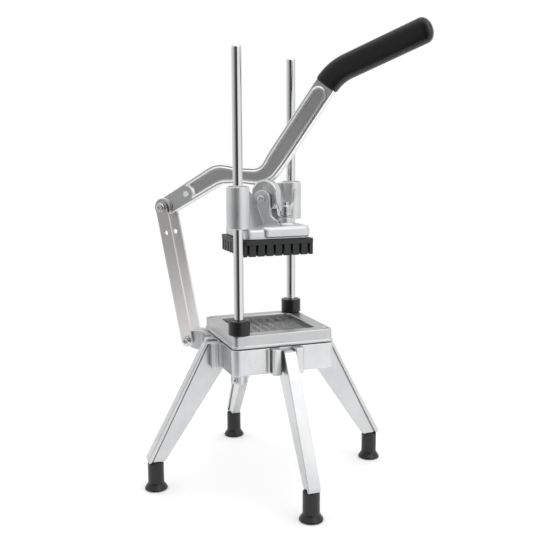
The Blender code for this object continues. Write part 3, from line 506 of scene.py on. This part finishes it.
def pierced(mesh, holes):
    """Cuts round holes through a mesh with the exact solver and gives back the result."""
    work = bpy.data.objects.new("work", mesh)
    # The walls that the drills cut are marked to be painted near white.
    bright = {"worn": np.ones(sum(grid[..., 0].size for grid in holes))}
    drill = bpy.data.objects.new("drill", skin("drill", holes, 40, bright))
    for part in (work, drill):
        bpy.context.scene.collection.objects.link(part)
    cut = work.modifiers.new("holes", "BOOLEAN")
    cut.operation = "DIFFERENCE"
    cut.solver = "EXACT"
    cut.object = drill
    graph = bpy.context.evaluated_depsgraph_get()
    result = bpy.data.meshes.new_from_object(work.evaluated_get(graph))
    for part in (work, drill):
        bpy.data.objects.remove(part)
    return result


frame_low, _, frame_middle = node_box("blade_frame")
opening = 48.6 * MM
outside = 64.9 * MM
foot_out = 63 * MM
lip_out = 66.1 * MM
section = [(foot_out, 0), (foot_out, 1.3 * MM), (lip_out, 1.3 * MM), (lip_out, 3.6 * MM)]
section += [(outside, 4.3 * MM), (outside, 17.3 * MM), (opening, 17.3 * MM), (opening, 0.6 * MM)]
section = softened(section, np.array([0.2, 0.2, 0.6, 0.7, 0.5, 1.7, 1.9, 0.3]) * MM, 5, True)
rings = []
for half, rise in section:
    ring = cornerwise(half, np.interp(half, [opening, outside], [10 * MM, 6.5 * MM]), 10)
    rings.append(np.column_stack([ring + frame_middle[:2], np.full(len(ring), frame_low[2] + rise)]))
rings.append(rings[0])
bores = []
for name in ("frame_screw_front", "frame_screw_rear"):
    low, high, middle = node_box(name)
    bore = (high[0] - low[0]) / 2 + 0.6 * MM
    floor_level = high[2] - 2.4 * MM
    past_top = high[2] + 9 * MM
    profile = [(0, floor_level), (bore, floor_level), (bore, past_top), (0, past_top)]
    bores.append(turned(profile, middle * (1, 1, 0), (0, 0, 1), 40))
frame_mesh = pierced(skin("frame_ring", [np.array(rings)]), bores)
frame_cast = cast_paint("cast_aluminium_frame", 1.3 * MM, 0.54, 0.24)
fit("frame_ring", creased(frame_mesh, 40), frame_cast, "base", "cast_aluminium", "blade_frame")


# Blades. Sixteen stainless strips stand on edge in two crossed layers. Their flanks carry fine
# lengthwise grinding marks that run level along each strip.
def blade_paint():
    """Ground stainless strip: bright, with thin level marks and slight water stains."""
    paint = Paint("ground_blade_steel", Metallic=1.0)
    marks = paint.noise(60, 4, (1, 1, 0.012))
    stain = paint.step(paint.noise(70, 3), 0.5, 0.8)
    paint.feed("Base Color", paint.mix(stain * 0.4 + marks * 0.3, grey(0.88), grey(0.55, 0.01)))
    paint.feed("Roughness", 0.16 + marks * 0.2 + stain * 0.08)
    paint.relief(marks, 0.02 * MM, 0.12 * MM)
    return paint


blade_steel = blade_paint()
dress(blade_steel, *[name for name in nodes if name.startswith(("upper_blade", "lower_blade"))])


# Fastenings. Bolts, screws, the stud and its washer are zinc plated; pivot bolts and nuts are
# stainless. Plating shows a faint mottle and the marks of the wrench.
def plated_paint(name, level, roughness, warmth):
    """Plated or turned steel: a close mottle and faint turning marks."""
    paint = Paint(name, Metallic=1.0)
    mottle = paint.noise(420, 3)
    wear = paint.step(paint.noise(150, 4), 0.5, 0.72)
    dulled = wear * 0.5 + mottle * 0.2
    paint.feed("Base Color", paint.mix(dulled, grey(level, warmth), grey(level * 0.68, warmth)))
    paint.feed("Roughness", roughness + mottle * 0.12 + wear * 0.12)
    paint.relief(mottle + paint.noise(1800, 2) * 0.4, 0.03 * MM, 0.3 * MM)
    return paint


zinc = plated_paint("bright_zinc_plate", 0.58, 0.2, -0.01)
pivot_steel = plated_paint("turned_stainless", 0.64, 0.14, 0.005)
screws = ("leg_bolt", "frame_screw", "rod_set_screw", "bracket_screw")
dress(zinc, *[name for name in nodes if name.startswith(screws)])
dress(zinc, "pusher_stud", "pusher_locating_pin", "stud_washer")
dress(pivot_steel, "lever_rear_pin", "bracket_nut", "fulcrum_nut")


def bolt_profile(radius, height, tail, shank):
    """Half section of a domed cheese head with a hexagon socket; height runs out from its seat."""
    dome = [(radius * 0.62, height), (radius * 0.9, height * 0.86), (radius, height * 0.55), (radius, 0)]
    corners = [(0, height * 0.45), (radius * 0.4, height * 0.45), (radius * 0.44, height * 0.95), *dome]
    corners += [(shank, 0), (shank, -tail), (0, -tail)]
    return softened(corners, 0.35 * MM, 4)


for name, body in (
    ("bracket_bolt", "base"),
    ("fulcrum_bolt", "head"),
    ("link_stub_left", "link"),
    ("link_stub_right", "link"),
):
    low, high, centre = node_box(name)
    outward = 1 if name.endswith("right") else -1
    head_top = high[0] if outward > 0 else low[0]
    head_height = 3.6 * MM
    centre[0] = head_top - outward * head_height
    tail = (high[0] - low[0]) - head_height
    profile = bolt_profile((high[2] - low[2]) / 2, head_height, tail, 3.95 * MM)
    grid = turned(profile, centre, (outward, 0, 0), 48)
    fit(f"{name}_turned", skin(f"{name}_turned", [grid]), pivot_steel, body, "stainless_steel", name)


# Guide rods. Hard-chromed ground bars with domed tops, held by set screws in the bosses under the
# skirt. They are mirror bright, with hair-fine wear marks where the bushes run.
def chrome_paint():
    """Hard chrome: a mirror with faint upright wear marks and a light bloom."""
    paint = Paint("hard_chrome", Metallic=1.0)
    streak = paint.noise(2600, 2, (1, 1, 60))
    bloom = paint.noise(40, 3)
    paint.feed("Base Color", paint.mix(bloom * 0.5, grey(0.70, -0.006), grey(0.58, -0.004)))
    paint.feed("Roughness", 0.05 + streak * 0.05 + bloom * 0.05)
    paint.relief(streak, 0.004 * MM)
    return paint


chrome = chrome_paint()
for side in ("left", "right"):
    low, high, middle = node_box(f"guide_rod_{side}")
    radius = (high[0] - low[0]) / 2
    rise = np.linspace(0, np.pi / 2, 14)
    dome_height = 5 * MM
    chamfer = 1 * MM
    dome = np.stack([radius * np.cos(rise), high[2] - dome_height * (1 - np.sin(rise))], axis=1)
    profile = np.concatenate([[(0, low[2]), (radius - chamfer, low[2]), (radius, low[2] + chamfer)], dome])
    mesh = skin(f"ground_rod_{side}", [turned(profile, middle * (1, 1, 0))])
    fit(f"ground_rod_{side}", mesh, chrome, "base", "chromed_steel", f"guide_rod_{side}")


# Rubber stops. A thick black rubber collar sits at the foot of each rod and cushions the head at the
# bottom of its stroke. Its edges are rounded and its bore grips the rod.
for side in ("left", "right"):
    low, high, middle = node_box(f"rubber_stop_{side}")
    radius = (high[0] - low[0]) / 2
    bore = 6.1 * MM
    corners = [(bore, low[2]), (radius, low[2]), (radius, high[2]), (bore, high[2])]
    profile = softened(corners, [0.3 * MM, 1.2 * MM, 2.2 * MM, 0.8 * MM], 6, True)
    profile = np.concatenate([profile, profile[:1]])
    mesh = skin(f"collar_{side}", [turned(profile, middle * (1, 1, 0))])
    fit(f"collar_{side}", mesh, rubber, "base", "black_rubber", f"rubber_stop_{side}")


# Link bars. Two flat stainless bars tie the lever's short arm to the bracket. They are sheared from
# cold-rolled strip, so their grain runs lengthwise and their edges are barely broken.
def bar_paint():
    """Cold-rolled strip: long grain marks down the bar and soft broad bands of tone, with a painted
    reflection of the bright floor that makes the lower part near white.
    """
    paint = Paint("cold_rolled_strip", Metallic=1.0)
    lean = math.radians(-11.4)
    grain = paint.noise(900, 4, (1, 1, 45), (lean, 0, 0))
    band = paint.noise(14, 3)
    tone = paint.mix(band * 0.5 + grain * 0.3, grey(0.66, 0.012), grey(0.5, 0.02))
    # Painted reflection: below 0.19 m the bars are painted near white for the bright floor, fading to their
    # own tone by 0.33 m.
    height = paint.node("ShaderNodeSeparateXYZ", {}, [paint.place], 2)
    paint.feed("Base Color", paint.mix(paint.step(height, 0.19, 0.33), grey(0.92, 0.012), tone))
    paint.feed("Roughness", 0.24 + grain * 0.16 + band * 0.06)
    paint.relief(grain, 0.02 * MM, 0.35 * MM)
    return paint


strip = bar_paint()
dress(strip, "link_bar_left", "link_bar_right")


# Head casting. Two sleeves ride on the rods; slanted webs join them to a pair of ears that carry the
# lever, over a square block with a raised pad and a boss for the stud. All edges are cast round.
fulcrum = node_box("fulcrum_nut")[2]
rod_place = node_box("guide_rod_right")[2]
stud_place = node_box("stud_washer")[2]
MID_Y = rod_place[1]


def along_x(across, up, through):
    """Places a plate that stands in the YZ plane, its thickness along X."""
    return np.stack([through, across, up], axis=-1)


def level_places(across, up, through):
    """Places a plate that lies level, its outline about the rods' mid-plane."""
    return np.stack([across, up + MID_Y, through], axis=-1)


def domed_plate(outline, low, high, low_edge, high_edge, place, steps=8):
    """A plate whose top edge is rounded more than its bottom edge: two slab quarters on one outline."""
    lower = slab(outline, low, (low + high) / 2 + low_edge, low_edge, place, steps)
    upper = slab(outline, (low + high) / 2 - high_edge, high, high_edge, place, steps)
    return np.concatenate([lower[: steps + 1], upper[steps + 1 :]])


def web_grid(side, inner, outer, low, count=48):
    """A web between an ear and a sleeve. Each ring is its section at one x: upright at the back and
    slanted in front. The top runs level from the sleeve and then falls to the ear on a smooth step."""
    x = np.linspace(inner, outer, count)
    fall = np.clip((44 * MM - x) / (30 * MM), 0, 1)
    top = fulcrum[2] + 17.4 * MM - 12.5 * MM * fall**2 * (3 - 2 * fall)
    base = low + np.clip((x - 57 * MM) / (7 * MM), 0, 1) * 5 * MM
    slope = 0.2254 + 0.15 * fall
    front = -5 * MM + (np.stack([base, top]) - low) * slope
    back = 11.8 * MM
    rows = []
    for k in range(count):
        section = [(front[0][k], base[k]), (back, base[k]), (back, top[k]), (front[1][k], top[k])]
        ring = softened(section, 1.8 * MM, 5, True)
        rows.append(np.stack([np.full(len(ring), side * x[k]), ring[:, 0] + MID_Y, ring[:, 1]], axis=1))
    return np.array(rows)


def ear_outline():
    """Side view of an ear: round about the pivot, its front edge flaring forward at the foot."""
    radius = 11.2 * MM
    angle = np.linspace(0, np.pi, 25)
    arc = np.stack([radius * np.cos(angle), radius * np.sin(angle)], axis=1)
    front = [(-11.2, -15), (-11.8, -20.5), (-16.5, -24.6), (-23, -26.5), (-23, -38), (11.2, -38)]
    lower = softened(np.concatenate([np.array(front) * MM, arc[:1]]), 5 * MM, 4)[:-1]
    return np.concatenate([arc, lower]) + (fulcrum[1], fulcrum[2])


def sleeve_profile(low, high):
    """Half section of a sleeve, open through its bore."""
    corners = [(8.6 * MM, low), (13.75 * MM, low), (13.75 * MM, high), (8.6 * MM, high)]
    profile = softened(corners, [0.6 * MM, 1.4 * MM, 1.4 * MM, 0.6 * MM], 6, True)
    return np.concatenate([profile, profile[:1]])


# Painted light: the head's level, 0.66, is set above the legs' and frame's to lift its shaded web.
head_cast = cast_paint("cast_aluminium_satin", 0.6 * MM, 0.66, 0.36)
head_low, head_high, _ = node_box("head_casting")
block_top = head_low[2] + 12.6 * MM
pad = softened(
    np.array([(-46, -17), (0, -62.6), (46, -17), (30, -1), (-30, -1)]) * MM,
    np.array([9, 11, 9, 4, 4]) * MM,
    8,
    True,
)
boss_foot = block_top - 2 * MM
boss_top = head_low[2] + 24.7 * MM
boss = [(0, boss_foot), (12.5 * MM, boss_foot), (12.2 * MM, block_top + 2.4 * MM)]
boss += [(9 * MM, block_top + 5 * MM), (9 * MM, boss_top), (0, boss_top)]
head_grids = [
    domed_plate(cornerwise(42.8 * MM, 9 * MM), head_low[2], block_top, 0.8 * MM, 4.2 * MM, level_places),
    domed_plate(pad, head_low[2] + 2 * MM, head_low[2] + 15.5 * MM, 2 * MM, 5 * MM, level_places),
    turned(softened(boss, 1.1 * MM, 5), (0, stud_place[1], 0)),
]
for side in (-1, 1):
    ear_levels = sorted((side * 8 * MM, side * 14 * MM))
    head_grids.append(slab(ear_outline(), *ear_levels, 1.1 * MM, along_x))
    head_grids.append(web_grid(side, 13 * MM, 68 * MM, head_low[2] + 10.7 * MM))
    sleeve = sleeve_profile(head_low[2] + 15.7 * MM, head_high[2])
    head_grids.append(turned(sleeve, (side * rod_place[0], MID_Y, 0), (0, 0, 1), 80))
head_mesh = skin("head_shell", head_grids, 35)
fit("head_shell", head_mesh, head_cast, "head", "cast_aluminium", "head_casting")


# Guide bushes. White nylon sleeves are pressed into the head; only their thin flange shows on top.
def nylon_paint():
    """Natural nylon: off-white, slightly mottled, waxy."""
    paint = Paint("natural_nylon", Subsurface_Weight=0.1)
    mottle = paint.noise(120, 3)
    paint.feed("Base Color", paint.mix(mottle, (0.74, 0.73, 0.68, 1), (0.62, 0.61, 0.57, 1)))
    paint.feed("Roughness", 0.38 + mottle * 0.15)
    paint.relief(mottle, 0.05 * MM)
    return paint


nylon = nylon_paint()
for side in ("left", "right"):
    low, high, middle = node_box(f"guide_bush_{side}")
    rim = (high[0] - low[0]) / 2
    barrel = 8.4 * MM
    bore = 6.25 * MM
    shoulder = high[2] - 1.1 * MM
    corners = [(bore, low[2]), (barrel, low[2]), (barrel, shoulder), (rim, shoulder), (rim, high[2])]
    profile = softened([*corners, (bore, high[2])], 0.4 * MM, 4, True)
    profile = np.concatenate([profile, profile[:1]])
    mesh = skin(f"bush_{side}", [turned(profile, middle * (1, 1, 0))])
    fit(f"bush_{side}", mesh, nylon, "head", "white_nylon", f"guide_bush_{side}")


# Pusher block. It is moulded in black nylon, with slots both ways between its square fingers, and
# keeps its CAD shape. The surface is matt and a little scuffed by the blades.
def pusher_paint():
    """Moulded black nylon: matt, with paler scuffs."""
    paint = Paint("moulded_black_nylon")
    scuff = paint.step(paint.noise(160, 5, (1, 1, 0.5)), 0.5, 0.78)
    grain = paint.noise(1100, 2)
    paint.feed("Base Color", paint.mix(scuff, grey(0.009, -0.08), grey(0.022, -0.06)))
    paint.feed("Roughness", 0.40 + scuff * 0.18 + grain * 0.08)
    paint.relief(grain + scuff * 0.5, 0.05 * MM, 0.4 * MM)
    return paint


dress(pusher_paint(), "pusher_block")


# Wing nut. A plated malleable casting clamps the pusher's stud. Its hub is tapered and its two wings
# rise and curl outwards, thick at the root and rounded at the tip.
def wing_outline(side, seat):
    """Side view of one wing as (radius, height), its sides eased into curves."""
    outer = [(2.5, 2), (7.4, 4), (13.2, 11.5), (16.4, 20.5), (18.2, 29.5), (17.2, 34)]
    inner = [(14.4, 34.4), (13.4, 30), (12.6, 22), (11.6, 16), (8.6, 12.4), (2.5, 12.4)]
    reach = np.array([0.3, 3, 4, 4, 3, 2, 2, 3, 4, 3, 2, 0.3]) * MM
    return softened(np.array(outer + inner) * MM, reach, 5, True) * (side, 1) + (0, seat)


wing_seat = node_box("wing_nut")[0][2]
wing_turn = math.radians(-25)


def wing_places(out, up, through):
    """Stands a wing on its line through the stud; it thins from root to tip."""
    through = through * (1.25 - 0.35 * np.clip(np.abs(out) / (18 * MM), 0, 1))
    x = out * math.cos(wing_turn) - through * math.sin(wing_turn)
    y = out * math.sin(wing_turn) + through * math.cos(wing_turn) + stud_place[1]
    return np.stack([x, y, up], axis=-1)


hub = [(0, 0), (7.2, 0), (7.4, 2.6), (7, 4), (6.2, 11.5), (5.5, 13), (4.2, 13.2), (3.9, 12.2), (0, 12)]
hub = softened(np.array(hub) * MM, 0.7 * MM, 4) + (0, wing_seat)
wing_grids = [turned(hub, (0, stud_place[1], 0), (0, 0, 1), 48)]
for side in (-1, 1):
    wing_grids.append(slab(wing_outline(side, wing_seat), -1.2 * MM, 1.2 * MM, 0.8 * MM, wing_places))
wing_mesh = skin("cast_wing_nut", wing_grids)
fit("cast_wing_nut", wing_mesh, zinc, "clamp_nut", "zinc_plated_steel", "wing_nut")


# Lever. One aluminium casting runs from the rear pivot over the crook, down to the knee above the
# fulcrum hub and up to the grip. Both flat sides are recessed inside a raised rim.
LEVER_FACE = 6 * MM
rear_pivot = node_box("lever_rear_pin")[2]
spare_hole = (115.5 * MM, 369.6 * MM)


def arc_corner(before, corner, after, radius, steps):
    """Arc of a given radius that rounds a corner, from its tangent point before to the one after."""
    corner = np.asarray(corner, float)
    first = np.asarray(before, float) - corner
    second = np.asarray(after, float) - corner
    first /= np.linalg.norm(first)
    second /= np.linalg.norm(second)
    half = math.acos(np.clip(first @ second, -1, 1)) / 2
    middle = corner + (first + second) / np.linalg.norm(first + second) * radius / math.sin(half)
    start = corner + first * radius / math.tan(half) - middle
    end = corner + second * radius / math.tan(half) - middle
    share = np.linspace(0, 1, steps + 1)[:, None]
    sweep = math.pi - 2 * half
    return middle + (np.sin((1 - share) * sweep) * start + np.sin(share * sweep) * end) / math.sin(sweep)


knee = (0.8 * MM, 392.5 * MM)
crook = (66.8 * MM, 396.5 * MM)
grip_start = (-82 * MM, 502.4 * MM)
grip_bend = (-92.1 * MM, 518.4 * MM)
grip_tip = (-208.6 * MM, 564 * MM)
rear = (rear_pivot[1] - MID_Y, rear_pivot[2])
path = np.concatenate(
    [
        [rear],
        arc_corner(rear, crook, knee, 34 * MM, 24),
        arc_corner(crook, knee, grip_start, 28 * MM, 24),
        arc_corner(knee, grip_bend, grip_tip, 60 * MM, 24),
        [grip_tip],
    ]
)
path_length = np.concatenate([[0], np.cumsum(np.linalg.norm(np.diff(path, axis=0), axis=1))])


def along(stations):
    """Points and left-hand normals of the lever's centre line at distances from the rear pivot. A
    normal is square to the line between the points 1.5 mm before and after."""

    def spot(distance):
        return np.stack([np.interp(distance, path_length, path[:, k]) for k in (0, 1)], axis=-1)

    run = spot(stations + 1.5 * MM) - spot(stations - 1.5 * MM)
    run /= np.linalg.norm(run, axis=-1, keepdims=True)
    return spot(stations), np.stack([-run[..., 1], run[..., 0]], axis=-1)


def station_of(point):
    """Distance along the centre line of the place nearest a point."""
    stations = np.linspace(0, path_length[-1], 4000)
    return float(stations[np.argmin(np.linalg.norm(along(stations)[0] - np.array(point), axis=1))])


def half_width(stations):
    """The lever's half-width: broad at the crook, slim on the way to the knee, even up the arm."""
    at_crook = station_of(crook)
    at_knee = station_of(knee)
    knots = [0, at_crook, (at_crook + at_knee) / 2, at_knee, at_knee + 30 * MM, path_length[-1]]
    return np.interp(stations, knots, np.array([12.3, 13.6, 10.4, 11.5, 13.4, 13.4]) * MM)


def smooth_step(value, start, end):
    """0 before start, 1 after end, 3t²-2t³ between."""
    t = np.clip((value - start) / (end - start), 0, 1)
    return t * t * (3 - 2 * t)


def lever_grid(last, rows, columns):
    """The lever's skin. A ring goes round one section: u from -1 to 1 on one side and back on the other.
    The side's level is LEVER_FACE, rounded off at the edge as a quarter circle. It drops into the
    panel on a smooth step of the distance inside the panel's border, beside a bead shaped exp(-d²).
    The panel has a round end below the grip and stops short of the spare hole."""
    rim_width = 5.7 * MM
    panel_depth = 2.6 * MM
    bead_height = 1.0 * MM
    hole_pad = 13.5 * MM
    stations = np.linspace(1 * MM, last, rows)
    spots, normals = along(stations)
    width = half_width(stations)
    u = np.sin(np.linspace(-np.pi / 2, np.pi / 2, columns))
    t = width[:, None] * u
    edge = 1.5 * MM
    rounding = np.clip(1 - (width[:, None] - np.abs(t)) / edge, 0, 1)
    level = LEVER_FACE - edge * (1 - np.sqrt(1 - rounding**2))
    border = width - rim_width
    nose = last - 9.5 * MM
    beyond = np.maximum(stations - (nose - border), 0)
    inside = border[:, None] - np.sqrt(t**2 + beyond[:, None] ** 2)
    flat = spots[:, None] + normals[:, None] * t[..., None]
    inside = np.minimum(inside, np.linalg.norm(flat - np.array(spare_hole), axis=-1) - hole_pad)
    inside = np.minimum(inside, (stations - station_of(spare_hole) - 2 * MM)[:, None])
    level = level - panel_depth * smooth_step(inside, -0.9 * MM, 0.9 * MM)
    bead = np.exp(-(((inside + 1.4 * MM) / (1.0 * MM)) ** 2))
    level = level + bead_height * bead
    one = np.stack([level, flat[..., 0] + MID_Y, flat[..., 1]], axis=-1)
    other = one[:, ::-1] * (-1, 1, 1)
    # Painted highlight: the beads and the rounded edges are marked to be painted near white. The panel
    # floor, marked sunk, is painted darker, partly as rougher cast skin and partly as painted shade.
    worn = np.maximum(bead, np.sqrt(rounding))
    sunk = smooth_step(inside, -0.7 * MM, 0.5 * MM)
    marks = {"worn": worn, "sunk": sunk}
    marks = {key: np.concatenate([mark, mark[:, ::-1]], axis=1) for key, mark in marks.items()}
    return np.concatenate([one, other], axis=1), marks


def disc_profile(radius, level, bore, rim, floor_level):
    """Half section of a hub: a raised rim, a shallow dished floor and a raised eye round the bore."""
    half = [(bore, level), (bore + 3 * MM, level), (bore + 4.2 * MM, floor_level)]
    half += [(radius - rim - 1.2 * MM, floor_level), (radius - rim, level), (radius, level)]
    half = np.array(half)
    corners = np.concatenate([half, half[::-1] * (1, -1)])
    profile = softened(corners, 0.9 * MM, 5, True)
    return np.concatenate([profile, profile[:1]])


def arch_outline(radius):
    """The fulcrum hub seen from the side: a circle about the pivot drawn out 6.5 mm upwards."""
    angle = 2 * np.pi * np.arange(96) / 96
    raised = np.where(np.sin(angle) > 0, 6.5 * MM, 0)
    circle = radius * np.stack([np.cos(angle), np.sin(angle)], axis=1)
    return circle + fulcrum[1:] + np.stack([np.zeros(96), raised], axis=1)


def bead_ring(outline, level, radius):
    """A round bead on a side face, path + radius·(cos b·outward + sin b·x), all round a closed path."""
    run = np.roll(outline, -1, axis=0) - np.roll(outline, 1, axis=0)
    run /= np.linalg.norm(run, axis=1)[:, None]
    outward = np.stack([run[:, 1], -run[:, 0]], axis=1)
    angle = 2 * np.pi * np.arange(14) / 14
    flat = outline[:, None] + radius * np.cos(angle)[None, :, None] * outward[:, None]
    x = np.broadcast_to(level + radius * np.sin(angle), flat.shape[:2])
    grid = np.stack([x, flat[..., 0], flat[..., 1]], axis=-1)
    return np.concatenate([grid, grid[:1]])


arm_end = station_of(grip_start) + 3 * MM
drill_hole = turned(
    [(0, -20 * MM), (4 * MM, -20 * MM), (4 * MM, 20 * MM), (0, 20 * MM)],
    (0, spare_hole[0] + MID_Y, spare_hole[1]),
    (1, 0, 0),
    40,
)
arm_grid, arm_marks = lever_grid(arm_end, 460, 88)
arm = pierced(skin("arm", [arm_grid], 40, arm_marks), [drill_hole])
arch = slab(arch_outline(17.6 * MM), -6.6 * MM, 6.6 * MM, 1.2 * MM, along_x)
rims = [bead_ring(arch_outline(16.3 * MM), side * 6.2 * MM, 1.0 * MM) for side in (-1, 1)]
hub_section = disc_profile(12.3 * MM, 9.7 * MM, 4.3 * MM, 1.6 * MM, 9.4 * MM)
rear_hub = turned(hub_section, rear_pivot * (0, 1, 1), (1, 0, 0), 72)
hub_grids = [arch, *rims, rear_hub]
# Painted highlight: the bead rims round the fulcrum hub are marked to be painted near white.
rim_worn = [np.full(grid[..., 0].size, worn) for grid, worn in zip(hub_grids, (0, 1, 1, 0))]
hubs = skin("hubs", hub_grids, 40, {"worn": np.concatenate(rim_worn)})
joined = bmesh.new()
joined.from_mesh(arm)
joined.from_mesh(hubs)
lever_mesh = bpy.data.meshes.new("cast_lever")
joined.to_mesh(lever_mesh)
joined.free()
lever_cast = cast_paint("cast_aluminium_lever", 0.6 * MM, 0.60, 0.17)
fit("cast_lever", creased(lever_mesh, 50), lever_cast, "lever", "cast_aluminium", "lever_arm")


# Grip. The handle is dipped in black vinyl: a thick soft skin with a rounded end, a rolled lip where
# the dip stopped, and a dull leathery grain.
def vinyl_paint():
    """Dipped vinyl: black, soft satin, with a fine orange-peel grain and faint handling shine."""
    paint = Paint("dipped_vinyl_skin", Coat_Weight=0.05, Coat_Roughness=0.35)
    peel = paint.noise(420, 3)
    handled = paint.step(paint.noise(24, 3), 0.4, 0.7)
    paint.feed("Base Color", paint.mix(handled, grey(0.004, -0.05), grey(0.007, -0.03)))
    paint.feed("Roughness", 0.30 - handled * 0.07 + peel * 0.08)
    paint.relief(peel + paint.noise(90, 2) * 0.8, 0.09 * MM)
    return paint


def grip_grid(rows, columns):
    """Rings along the handle. A ring is the superellipse |a/w|^p + |x/d|^p = 1 with p = 3. Its size
    falls as (1-f²·⁴)^½ over the last stretch and grows a little from the lip. The rings lie closer
    together towards the end."""
    first = station_of(grip_start) + 0.3 * MM
    last = path_length[-1] - 0.5 * MM
    half_deep = 15 * MM
    half_thick = 8.35 * MM
    round_end = 12 * MM
    share = np.linspace(0, 1, rows)
    stations = first + (last - first) * (1 - (1 - share) ** 1.6)
    spots = along(stations)[0]
    normals = along(np.minimum(stations, last - 1.6 * MM))[1]
    fade = np.clip((stations - (last - round_end)) / round_end, 0, 1)
    size = np.sqrt(np.clip(1 - fade**2.4, 0, 1))
    lip = 0.94 + 0.06 * smooth_step(stations, first, first + 1.6 * MM)
    angle = 2 * np.pi * np.arange(columns) / columns
    power = 2 / 3
    a = np.sign(np.cos(angle)) * np.abs(np.cos(angle)) ** power * half_deep
    x = np.sign(np.sin(angle)) * np.abs(np.sin(angle)) ** power * half_thick
    scale = (size * lip)[:, None]
    flat = spots[:, None] + normals[:, None] * (scale * a)[..., None]
    return np.stack([scale * x, flat[..., 0] + MID_Y, flat[..., 1]], axis=-1)


grip_mesh = skin("vinyl_grip", [grip_grid(220, 96)], 60)
fit("vinyl_grip", grip_mesh, vinyl_paint(), "lever", "dipped_vinyl", "handle_grip")


# Floor finish. A matt white board with the faintest mottle, so that the feet cast soft contact
# shadows.
board = Paint("studio_board", Emission_Color=(1, 1, 1, 1), Emission_Strength=0.12)
fibre = board.noise(18, 4)
board.feed("Base Color", board.mix(fibre, grey(0.86), grey(0.90)))
board.feed("Roughness", 0.8 + fibre * 0.1)
floor.data.materials.append(board.material)
